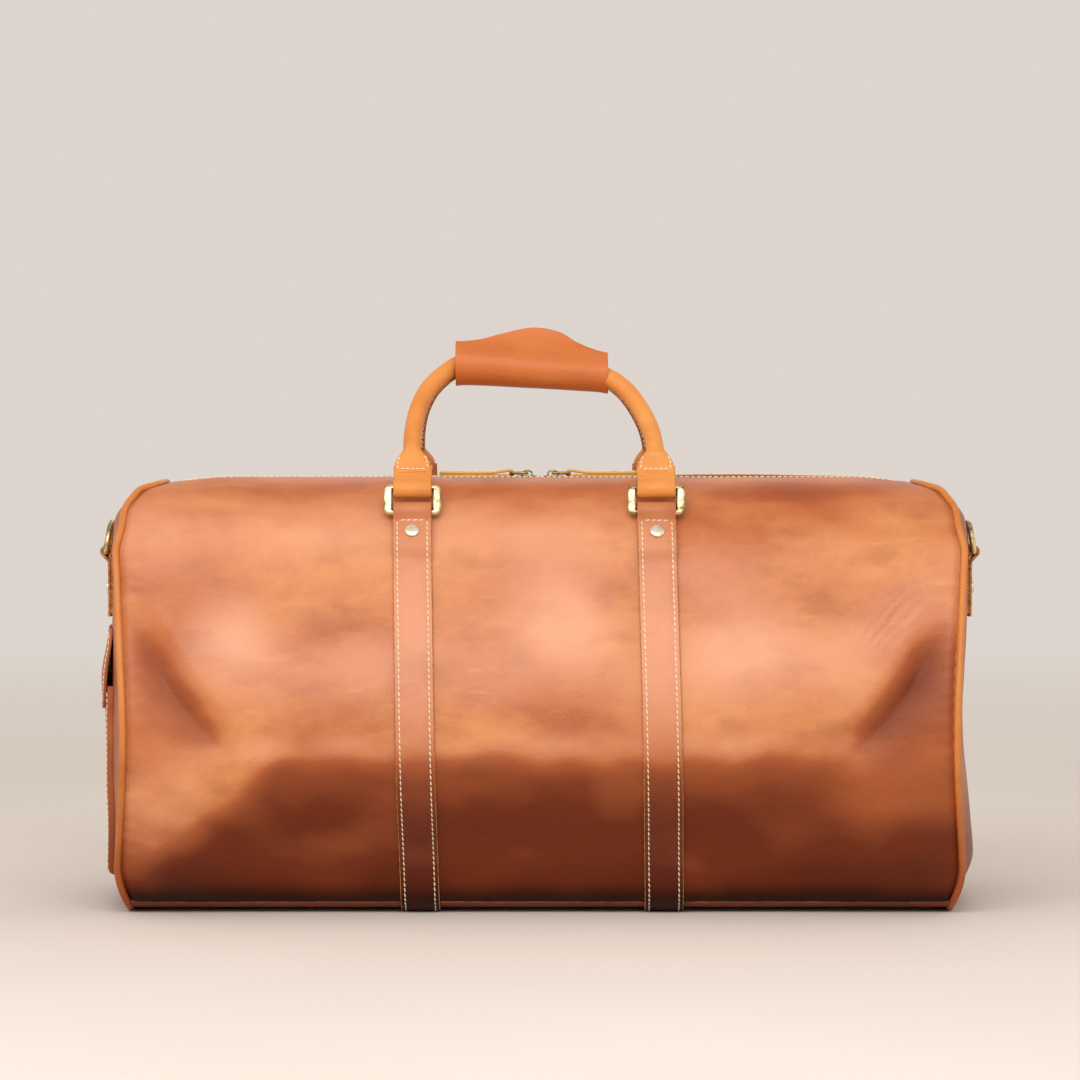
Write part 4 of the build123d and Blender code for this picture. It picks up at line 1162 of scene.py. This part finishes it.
# ---------------------------------------------------------------- handles
HANDLE_REACH = np.array([-9.0 - UPPER_AXIS[0], BAG_TOP + 71.0 - UPPER_AXIS[1]])
HANDLE_UP = unit(HANDLE_REACH)
HANDLE_OUT = np.array([-HANDLE_UP[1], HANDLE_UP[0]])
HANDLE_LINE = Track(
    smooth_line(
        [
            (-78.5, 12.5),
            (-79.5, 34),
            (-78.6, 52),
            (-75.2, 70),
            (-68.4, 86),
            (-57.5, 99),
            (-46, 106.4),
            (-22, 106.2),
            (4, 104.0),
            (28, 100.8),
            (46, 95.6),
            (59, 84.5),
            (68.3, 69),
            (75.0, 52),
            (78.2, 34),
            (78.5, 12.5),
        ]
    )
)
FLARE = 27.0


def handle_point(x, h, out, face):
    """A point of a handle: h up its slanting plane from the ring, out in front of that plane."""
    y, z = UPPER_AXIS + HANDLE_UP * h + HANDLE_OUT * out
    return np.array([x + TOP_SHIFT, -face * y, z])


def handle_vector(x, h, out, face):
    y, z = HANDLE_UP * h + HANDLE_OUT * out
    return unit(np.array([x, -face * y, z]))


def handle_size(s):
    """Half width, half thickness and squareness of a handle at s."""
    near = min(s, HANDLE_LINE.length - s)
    waist = smoothstep(7.0, 21.0, near)
    return 11.5 - 5.75 * waist, 2.5 + 3.25 * smoothstep(1.0, 24.0, near), 4.5 - 2.5 * waist


def make_handle(name, face):
    """A rolled handle with flat flared feet, its seam on the inner side and stitched feet."""
    frames, profiles = [], []
    places = np.arange(0.0, HANDLE_LINE.length, 2.0)
    for s in list(places) + [HANDLE_LINE.length]:
        (x, h), (dx, dh) = HANDLE_LINE.point(s), HANDLE_LINE.direction(s)
        half_width, half_thick, square = handle_size(s)
        frames.append((handle_point(x, h, 0, face), handle_vector(dh, -dx, 0, face), handle_vector(0, 0, 1, face)))
        profiles.append(superellipse(half_width, half_thick, square, 40))
    obj = sweep(f"{name}_handle_leather", frames, profiles)
    shade(obj, 70)
    body = f"{name}_handle"
    finish_piece(obj, body, [HANDLE_LEATHER], [f"{name}_handle_cover"])
    # the seam that closes the roll, on the side that faces the other handle and the hand
    ridge = []
    for s in np.arange(FLARE - 4, HANDLE_LINE.length - FLARE + 4, 2.0):
        (x, h), (dx, dh) = HANDLE_LINE.point(s), HANDLE_LINE.direction(s)
        half_width, half_thick, _ = handle_size(s)
        ridge.append(handle_point(x - dh * -half_width * 0.62, h + dx * -half_width * 0.62, -half_thick * 0.74, face))
    frames = frames_along(ridge, lambda i: handle_vector(0, 0, -1, face))
    seam = sweep(f"{name}_handle_seam", frames, superellipse(1.9, 1.0, 2.6, 12))
    shade(seam, 70)
    finish_piece(seam, body, [CUT_EDGE])
    group = f"{name}_handle_stitches"
    stitch_row(group, [p + handle_vector(0, 0, -1, face) * 0.9 for p in ridge], handle_vector(0, 0, -1, face))
    places = np.arange(14, HANDLE_LINE.length - 13, 3.0)
    rope = frames_along([handle_point(*HANDLE_LINE.point(s), 0, face) for s in places])
    core = sweep(f"{name}_rope_core", rope, circle(3.4, 14))
    finish_piece(core, body, [ROPE], [f"{name}_handle_core"])
    for foot in (0, 1):
        for front in (1, -1):
            for edge in (-1, 1):
                line = []
                for near in np.linspace(2.2, 12.5, 8):
                    s = near if foot == 0 else HANDLE_LINE.length - near
                    (x, h), (dx, dh) = HANDLE_LINE.point(s), HANDLE_LINE.direction(s)
                    half_width, half_thick, square = handle_size(s)
                    r = (half_width - 1.9) * edge
                    bulge = half_thick * (1 - abs(r / half_width) ** square) ** (1 / square)
                    line.append(handle_point(x + dh * r, h - dx * r, front * bulge, face))
                stitch_row(group, line, handle_vector(0, 0, front, face), 3.3)
            s = 2.2 if foot == 0 else HANDLE_LINE.length - 2.2
            x, h = HANDLE_LINE.point(s)
            half_width, half_thick, square = handle_size(s)
            row = [handle_point(x + r, h, front * half_thick, face) for r in np.linspace(-8.5, 8.5, 12)]
            stitch_row(group, row, handle_vector(0, 0, front, face), 3.3)
    lay_stitches(group, body)


def make_chape(name, side, face):
    """The rolled eye at a handle's foot, round the ring's upper bar."""
    middle = LOOP_OUTER - 1.0
    route = [(18, 1.0), (12, 1.15), (8, 2.1), (5.2, 3.6)]
    for degrees in range(50, 311, 13):
        a = math.radians(degrees)
        route.append((middle * math.cos(a), middle * math.sin(a)))
    route += [(5.2, -3.6), (8, -2.1), (12, -1.15), (18, -1.0)]
    line = [UPPER_AXIS + HANDLE_UP * h + HANDLE_OUT * out for h, out in route]
    line = [(-face * y, z) for y, z in line]
    frames = loop_frames(strap_head(side), line)
    obj = sweep(f"{name}_chape_leather", frames, flat_band(STRAP_WIDTH - 0.2, 1.9), edge_steps=BAND_SIDES)
    shade(obj, 60)
    finish_piece(obj, f"{name.split('_')[0]}_handle", [HANDLE_LEATHER, CUT_EDGE], [f"{name}_chape"])


# ---------------------------------------------------------------- the wrap
WRAP_LENGTH = 100.5
WRAP_X = -5.4
WRAP_Y = -4.0
WRAP_Z = BAG_TOP + 71.6
WRAP_TILT = math.radians(3.7)
FOLD_Y = -5.4


def tilted(x, y, z):
    """A point of the wrap, which hangs lower on the right."""
    return np.array([WRAP_X + x * math.cos(WRAP_TILT), y, z - x * math.sin(WRAP_TILT)])


OGEE = Track(
    smooth_line(
        [(-100, 1.5), (-67, 5.2), (-41, 10.2), (0, 16.2), (36, 14.8), (58, 8.8), (78, 4.6), (100, 1.5)]
    )
).points.T


def make_wrap():
    """One piece of leather round both handles: rear lip, underside, front, and the ogee flap above its fold."""
    rows = []
    half = WRAP_LENGTH / 2
    turns = [math.radians(-52 - 186 * k / 34) for k in range(35)]
    flap_steps = 18
    for k in range(len(turns) + flap_steps):
        row = []
        for x in np.linspace(-half, half, 60):
            end = abs(x) / half
            swell = 1 + 0.05 * (1 - end**2) + 0.012 * soft_noise(x, 5, k * 6.0, 30)
            flare = 0.5 * smoothstep(0.9, 1.0, end)
            a = turns[min(k, len(turns) - 1)]
            low = 1.2 * end**3 * max(0.0, -math.sin(a))
            tall = 12.4 - 0.6 * x / half
            y = WRAP_Y + (15.2 * swell + flare) * math.cos(a)
            z = WRAP_Z + (tall * swell + flare + low) * math.sin(a)
            if k >= len(turns):
                share = (k - len(turns) + 1) / flap_steps
                reach = share * (3.6 + float(np.interp(100 * x / half, *OGEE)))
                y += 0.80 * reach - 0.012 * reach * reach
                z += 0.62 * reach + 0.010 * reach * reach
            row.append(tilted(x, y, z))
        rows.append(row)
    obj = lofted_sheet("wrap_leather_piece", rows, (0, -1, 0), 1.8)
    apply_modifier(obj, "BEVEL", width=0.5 * MM, segments=2, limit_method="ANGLE", angle_limit=math.radians(50))
    shade(obj, 50)
    obj.data.materials.append(WRAP_LEATHER)
    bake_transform(obj)
    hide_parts("handle_wrap", "wrap_flap")
    cap = rivet_head("wrap_snap_cap", tilted(0, FOLD_Y + 7.4, WRAP_Z + 19.6), (0, 0.75, -0.66), 4.2, 1.0)
    finish_piece(cap, "wrap_flap", [ANTIQUE_BRASS], ["wrap_snap"])


# ---------------------------------------------------------------- zipper
PULL_Z = BAG_TOP + 2.5
SLIDER_X = 8.5
TAPE_Z = BAG_TOP - 2.0


def make_zipper(name, face):
    """One tape with its corded edge, and its row of teeth."""
    xs = np.linspace(-243, 243, 160)
    rows = []
    for y, lift in ((3.3, 0.5), (3.6, 0.75), (4.4, 0.75), (4.9, 0.2), (8, 0.0), (12, -0.1), (18.5, -0.3)):
        rows.append([settle((x, face * y, TAPE_Z + lift - 0.1 * (y < 12))) for x in xs])
    tape = lofted_sheet(f"{name}_tape", rows, (0, 0, 1), 0.7)
    shade(tape, 60)
    finish_piece(tape, "bag", [ZIP_TAPE], [f"{name}_zipper_tape"])
    pitch = 3.2
    outline = [(3.7, 0.75), (2.4, 0.8), (1.5, 0.55), (0.45, 0.85), (0.4, 0.5)]
    half = 1.55
    points, faces = [], []
    for k in range(int(478 / pitch)):
        x = -238 + pitch * (k + (0.5 if face == REAR else 0.0))
        base = len(points)
        for side in (-1, 1):
            for y, wide in outline:
                for z in (-half, half):
                    points.append(settle((x + side * wide, face * y, TAPE_Z - 0.35 + z * (1.15 if y < 3 else 1.0))))
        count = len(outline)
        for j in range(count - 1):
            a = base + 2 * j
            b = a + 2 * count
            faces += [
                (a, a + 1, a + 3, a + 2),
                (b, b + 2, b + 3, b + 1),
                (a, a + 2, b + 2, b),
                (a + 1, b + 1, b + 3, a + 3),
            ]
        end = base + 2 * (count - 1)
        faces.append((base, base + 2 * count, base + 2 * count + 1, base + 1))
        faces.append((end, end + 1, end + 2 * count + 1, end + 2 * count))
    teeth = mesh_piece(f"{name}_teeth", points, faces)
    face_outwards(teeth)
    shade(teeth, 30)
    finish_piece(teeth, "bag", [ZIP_BRASS], [f"{name}_zipper_teeth"])


def plate(name, outline, low, high, bevel):
    """A flat piece with a rounded rim from its outline in X and Y."""
    count = len(outline)
    points = [(x, y, z) for z in (low, high) for x, y in outline]
    faces = [tuple(range(count)), tuple(range(count, 2 * count))]
    faces += [(j, (j + 1) % count, count + (j + 1) % count, count + j) for j in range(count)]
    obj = mesh_piece(name, points, faces)
    face_outwards(obj)
    apply_modifier(obj, "BEVEL", width=bevel * MM, segments=3, limit_method="ANGLE", angle_limit=math.radians(50))
    return obj


def make_slider(name, side):
    """A slider: two waisted plates on a post, with an arched bridge for the pull."""
    x0 = side * SLIDER_X
    outline = []
    for a, b in superellipse(6.8, 5.3, 3.2, 40):
        waist = 1 - 0.22 * bell(a, 3.4, 3.2)
        outline.append((x0 + side * a, b * waist))
    top = BAG_TOP + 0.9
    pieces = [
        plate("top_plate", outline, top - 1.5, top, 0.5),
        plate("low_plate", outline, TAPE_Z - 4.3, TAPE_Z - 2.9, 0.4),
        plate(
            "post",
            [(x0 - 3.4, -0.22), (x0 + 3.4, -0.22), (x0 + 3.4, 0.22), (x0 - 3.4, 0.22)],
            TAPE_Z - 3.6,
            top - 0.7,
            0.05,
        ),
    ]
    arch = rounded_line([(-3.3, top - 0.4), (-3.3, top + 3.2), (3.3, top + 3.2), (3.3, top - 0.4)], [2.2, 2.2])
    frames = frames_along([(x0 + a, 0, b) for a, b in arch], lambda i: (0, 1, 0))
    bridge = sweep("bridge", frames, superellipse(0.55, 1.5, 3.2, 16))
    obj = join([bridge] + pieces, f"{name}_slider_body")
    shade(obj, 40)
    finish_piece(obj, f"{name}_slider", [ZIP_BRASS], [f"{name}_slider"])


def pull_droop(x):
    """How far a pull's tab has sunk towards the teeth, x from its ring's hinge."""
    return 0.8 * smoothstep(13, 24, x)


def make_pull(name, side):
    """A wire ring through the bridge and a folded, stitched leather tab lying on the zipper."""
    x0, body = side * SLIDER_X, f"{name}_pull"
    path = Track(rounded_line([(0, 0), (0, 5.5), (11, 5.5), (11, -5.5), (0, -5.5), (0, 0)], [1.6] * 4))
    loop = [path.point(s) for s in np.arange(0, path.length - 0.3, 0.6)]
    frames = frames_along([(x0 + side * a, b, PULL_Z) for a, b in loop], lambda i: (0, 0, 1), closed=True)
    ring = sweep(f"{name}_pull_wire", frames, circle(0.95, 12), closed=True)
    shade(ring, 70)
    finish_piece(ring, body, [ZIP_BRASS], [f"{name}_pull_ring"])
    end, half_gap = 58.0, 0.9
    route = [(end - 0.2 * k, 0) for k in (0, 6, 14, 24)] + [(x, 0) for x in np.arange(51, 17, -2.5)]
    upper = [(x, half_gap + 0.5 * bell(x, 16, 4)) for x, _ in route] + [(15, 1.3), (13, 1.7)]
    around = [(11 + 1.75 * math.cos(a), 1.75 * math.sin(a)) for a in np.radians(range(75, 286, 15))]
    line = upper + around + [(x, -z) for x, z in reversed(upper)]
    frames, profiles = [], []
    for i, (x, z) in enumerate(line):
        ax, az = line[max(i - 1, 0)]
        bx, bz = line[min(i + 1, len(line) - 1)]
        along = unit(np.array([side * (bx - ax), 0, bz - az]))
        right = np.array([0, 1.0, 0])
        droop = pull_droop(x)
        width = 4.0 + 1.5 * smoothstep(15, 24, x)
        width *= math.sqrt(max(0.12, 1 - max(0.0, (x - end + 5.5) / 5.6) ** 2))
        frames.append((np.array([x0 + side * x, 0, PULL_Z + z - droop]), right, np.cross(right, along)))
        profiles.append(flat_band(2 * width, 1.7))
    tab = sweep(f"{name}_pull_leather", frames, profiles)
    shade(tab, 50)
    finish_piece(tab, body, [PULL_LEATHER], [f"{name}_pull_tab"])
    group = f"{name}_pull_stitches"
    upper = [(19, 3.0), (24, 4.0), (50, 4.0), (54.5, 2.4)]
    border = smooth_line(upper + [(55.6, 0)] + [(a, -b) for a, b in reversed(upper)])
    for up in (1, -1):
        row = [(x0 + side * x, y, PULL_Z + up * 1.75 - pull_droop(x)) for x, y in border]
        stitch_row(group, row, (0, 0, up), 3.2)
    lay_stitches(group, body)


def make_stops():
    blocks = []
    for side in (-1, 1):
        x, _, z = settle((side * 241, 0, TAPE_Z - 0.3))
        outline = [(x + a, b) for a, b in superellipse(2.0, 3.3, 4.0, 20)]
        blocks.append(plate("stop", outline, z - 2.0, z + 2.0, 0.4))
    stops = join(blocks, "zipper_end_stops")
    shade(stops, 40)
    finish_piece(stops, "bag", [ZIP_BRASS], ["zipper_stops"])


def make_crest_stitches():
    """The stitch rows that hold the tapes, along both edges of the zipper."""
    for face in (FRONT, REAR):
        s = SLOT_EDGE + 3.0
        for row in (s, s + 6.0) if face == REAR else (s,):
            xs = np.linspace(-236, 236, 200)
            stitch_row("zipper_edge_stitches", [skin(x, row, 0, face) for x in xs], skin_out(row, face))
    lay_stitches("zipper_edge_stitches", "bag")


# ---------------------------------------------------------------- ends: D-rings and the pocket
DRING_X, DRING_Z = END_X + 4.8, BAG_TOP - 49.0


def make_dring(name, side):
    """A D-ring with its bar in the tab's loop, the two-layer tab and the stitches that hold it."""
    lean = math.radians(8)
    path = Track(
        rounded_line([(0, 0), (15, 0), (15, 19), (-15, 19), (-15, 0), (0, 0)], [1.2, 14.6, 14.6, 1.2])
    )
    loop = []
    for s in np.arange(0, path.length - 0.5, 1.0):
        a, b = path.point(s)
        loop.append((side * (DRING_X - b * math.sin(lean)), a, DRING_Z + b * math.cos(lean)))
    frames = frames_along(loop, lambda i: (side, 0, 0), closed=True)
    ring = sweep(f"{name}_cast_dring", frames, circle(2.0, 16), closed=True)
    shade(ring, 70)
    finish_piece(ring, f"{name}_dring", [ANTIQUE_BRASS], [f"{name}_dring"])
    out = [(3.0, z) for z in range(188, 223, 4)] + [(3.3, 224.5)]
    eye = [(4.8 + 3.35 * math.sin(a), DRING_Z - 3.35 * math.cos(a)) for a in np.radians(range(36, 335, 13))]
    inner = [(1.3, 225)] + [(1.0, z) for z in range(222, 187, -4)]
    line = [(end_skin(0, z, side, x)[0] if z < 223 else side * (END_X + x), z) for x, z in out + eye + inner]
    frames = []
    for i, (x, z) in enumerate(line):
        (ax, az), (bx, bz) = line[max(i - 1, 0)], line[min(i + 1, len(line) - 1)]
        along = unit(np.array([bx - ax, 0, bz - az]))
        right = np.array([0, 1.0, 0])
        frames.append((np.array([x, 0, z]), right, np.cross(right, along)))
    tab = sweep(f"{name}_dring_leather", frames, flat_band(STRAP_WIDTH, 1.9), edge_steps=BAND_SIDES)
    shade(tab, 60)
    finish_piece(tab, "bag", [STRAP_LEATHER, CUT_EDGE], [f"{name}_dring_tab"])
    group = f"{name}_dring_stitches"
    border = [(-9.6, 222), (-9.6, 190.6), (9.6, 190.6), (9.6, 222)]
    line = []
    for (ay, az), (by, bz) in zip(border, border[1:]):
        for t in np.linspace(0, 1, 12)[:-1]:
            y, z = ay + (by - ay) * t, az + (bz - az) * t
            line.append(end_skin(y, z, side, 4.0))
    stitch_row(group, line, (side, 0, 0))
    lay_stitches(group, "bag")


def make_dring_rivets():
    heads = [
        rivet_head("rivet", end_skin(0, BAG_TOP - 73, side, 4.1), (side, 0, 0), 4.7, 1.5)
        for _, side in SIDES
    ]
    finish_piece(join(heads, "dring_rivet_caps"), "bag", [PALE_BRASS], ["dring_rivets"])


def near_border(distance, width=2.5):
    """A rounded edge's rise from 0 at the border to 1 at width inside it."""
    t = min(1.0, max(0.0, distance / width))
    return math.sqrt(1 - (1 - t) ** 2)


def make_pocket():
    """The patch pocket on the left end: its leather turns down to the panel along three sides."""
    half, low, high = 75.0, 24.0, 146.0
    border = [0, 0.3, 0.9, 1.7, 2.6, 4.0]
    ys = [-half + b for b in border] + list(np.linspace(-half + 6, half - 6, 46)) + [half - b for b in border[::-1]]
    zs = [low + b for b in border] + list(np.linspace(low + 6, high, 34))
    rows = []
    for z in zs:
        row = []
        for y in ys:
            rise = 0.2 + 3.6 * near_border(half - abs(y)) * near_border(z - low)
            rise += 0.7 * bell(y, 0, 45) * smoothstep(90, high, z)
            row.append(end_skin(y, z, LEFT, rise))
        rows.append(row)
    obj = lofted_sheet("left_end_pocket_leather", rows, (-1, 0, 0), 1.7)
    shade(obj, 50)
    # The pocket is painted darker towards the floor
    paint(obj, {"patina_and_shade": lambda p: 0.4 + 0.4 * (1 - smoothstep(20, 90, p.z)), "pull_up_and_highlight": lambda p: 0.0})
    finish_piece(obj, "bag", [BODY_LEATHER], ["end_pocket"])
    corners = [(-half + 3.2, high - 2), (-half + 3.2, low + 3.2), (half - 3.2, low + 3.2), (half - 3.2, high - 2)]
    line = rounded_line(corners, [4, 4])
    dense = Track(line)
    row = [dense.point(s) for s in np.arange(0, dense.length, 3)]
    stitch_row("pocket_stitches", [end_skin(y, z, LEFT, 3.8) for y, z in row], (-1, 0, 0))
    lay_stitches("pocket_stitches", "bag")


def flap_place(y, z, top=183.0):
    """A point of the pocket's flap, which rides over the pocket's mouth."""
    lift = 2.0 + 4.0 * smoothstep(top, top - 33, z)
    return end_skin(y, z, LEFT, lift)


def make_pocket_flap():
    """The flap over the pocket, with rounded lower corners, border stitches and a press stud."""
    half, top, low, corner = 78.0, 183.0, 130.0, 30.0
    ys = np.concatenate(
        [np.linspace(-half, -half + corner, 16), np.linspace(-46, 46, 40), np.linspace(half - corner, half, 16)]
    )
    rows = []
    for share in np.linspace(0, 1, 26):
        row = []
        for y in ys:
            inside = max(0.0, abs(y) - (half - corner))
            bottom = low + corner - math.sqrt(max(0.0, corner**2 - inside**2))
            row.append(flap_place(y, top - share * (top - bottom)))
        rows.append(row)
    obj = lofted_sheet("pocket_flap_leather", rows, (-1, 0, 0), 1.7)
    apply_modifier(obj, "BEVEL", width=0.4 * MM, segments=2, limit_method="ANGLE", angle_limit=math.radians(60))
    shade(obj, 50)
    paint(obj, {"patina_and_shade": lambda p: 0.35, "pull_up_and_highlight": lambda p: 0.25 * bell(p.z, 134, 8)})
    finish_piece(obj, "pocket_flap", [BODY_LEATHER], ["pocket_flap"])
    line = Track(
        rounded_line(
            [(-half + 3.2, top - 3), (-half + 3.2, low + 3.2), (half - 3.2, low + 3.2), (half - 3.2, top - 3)],
            [corner - 3, corner - 3],
        )
    )
    row = [line.point(s) for s in np.arange(0, line.length, 3)] + [line.point(line.length)]
    stitch_row("pocket_flap_stitches", [flap_place(y, z) for y, z in row], (-1, 0, 0))
    hinge_row = [flap_place(y, top - 3.4) for y in np.linspace(-half + 4, half - 4, 60)]
    stitch_row("pocket_flap_stitches", hinge_row, (-1, 0, 0))
    lay_stitches("pocket_flap_stitches", "pocket_flap")
    stud = rivet_head("pocket_stud_cap", flap_place(0, low + 14), (-1, 0, 0), 6.0, 1.3)
    finish_piece(stud, "pocket_flap", [ANTIQUE_BRASS], ["pocket_flap_snap"])


# ---------------------------------------------------------------- camera, light and floor
CAMERA_Y, CAMERA_Z = -2725.0, 320.0
LENS = 137.2
TILT = 1.72


def area_light(name, place, target, size, power, colour=(1, 1, 1)):
    data = bpy.data.lights.new(name, "AREA")
    data.shape = "RECTANGLE"
    data.size, data.size_y = size
    data.energy = power
    data.color = colour
    obj = bpy.data.objects.new(name, data)
    obj.location = place
    obj.rotation_euler = (Vector(target) - Vector(place)).to_track_quat("-Z", "Y").to_euler()
    bpy.context.scene.collection.objects.link(obj)


ROOM_TONE = "EFE6DE"
ROOM_LIGHT = 0.84


def make_studio():
    data = bpy.data.cameras.new("camera")
    data.lens = LENS
    data.sensor_width = 36
    camera = bpy.data.objects.new("camera", data)
    camera.location = (0.0, CAMERA_Y * MM, CAMERA_Z * MM)
    camera.rotation_euler = (math.radians(90 - TILT), 0, 0)
    bpy.context.scene.collection.objects.link(camera)
    bpy.context.scene.camera = camera
    bpy.ops.object.select_all(action="DESELECT")
    bpy.ops.mesh.primitive_plane_add(size=30)
    floor = bpy.context.object
    floor.name = "studio_floor"
    material, tree, shader, where = blank_material("matt_paper_floor")
    tone = noise_field(tree, where, 600, 2)
    tree.links.new(ramp(tree, tone, [(0.3, linear("D8D0C8")), (0.7, linear("DED7D0"))]), shader.inputs["Base Color"])
    shader.inputs["Roughness"].default_value = 0.9
    # Far from the bag the paper fades into the pale room, so no horizon shows
    away = add(tree, "ShaderNodeVectorMath", {"operation": "LENGTH"}, i0=where)
    fade = add(
        tree, "ShaderNodeMapRange", {"interpolation_type": "SMOOTHSTEP"}, i0=away.outputs["Value"], i1=0.5, i2=3.2
    )
    glow = add(tree, "ShaderNodeEmission", Color=linear(ROOM_TONE), Strength=ROOM_LIGHT)
    both = add(tree, "ShaderNodeMixShader", i0=fade.outputs[0], i1=shader.outputs[0], i2=glow.outputs[0])
    tree.links.new(both.outputs[0], tree.nodes["Material Output"].inputs["Surface"])
    floor.data.materials.append(material)
    world = bpy.data.worlds.new("pale_studio")
    world.use_nodes = True
    background = world.node_tree.nodes["Background"]
    background.inputs["Color"].default_value = linear(ROOM_TONE)
    background.inputs["Strength"].default_value = ROOM_LIGHT
    bpy.context.scene.world = world
    bpy.context.scene.view_settings.view_transform = "Standard"
    middle = (0, -0.05, 0.16)
    area_light("key_softbox", (-0.15, -1.35, 1.15), middle, (1.5, 0.8), 17, (1.0, 0.98, 0.97))
    area_light("left_fill", (-2.2, -0.9, 0.9), middle, (1.0, 1.4), 6, (1.0, 0.98, 0.97))
    area_light("right_fill", (2.2, -0.5, 0.8), middle, (1.0, 1.4), 5, (1.0, 0.98, 0.96))
    area_light("back_light", (0.3, 1.9, 1.4), middle, (1.6, 0.8), 4, (1.0, 0.98, 0.95))


# ---------------------------------------------------------------- the whole bag
make_studio()
for name, face in FACES:
    make_side_panel(name, face)
make_bottom()
for name, side in SIDES:
    make_piping(name, side)
    make_end(name, side)
for name, face in FACES:
    make_welt(name, face)
make_lining()
for name, side in SIDES:
    make_strap(name, side)
for face_name, face in FACES:
    for side_name, side in SIDES:
        make_ring_tab(f"{face_name}_{side_name}", side, face)
        make_ring(f"{face_name}_{side_name}", side, face)
        make_chape(f"{face_name}_{side_name}", side, face)
make_strap_rivets()
for name, face in FACES:
    make_handle(name, face)
make_wrap()
for name, face in FACES:
    make_zipper(name, face)
make_stops()
make_crest_stitches()
for name, side in SIDES:
    make_slider(name, side)
    make_pull(name, side)
    make_dring(name, side)
make_dring_rivets()
make_pocket()
make_pocket_flap()
for node, material in (("base_board", FIBRE_BOARD),):
    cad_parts[node].data.materials.clear()
    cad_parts[node].data.materials.append(material)
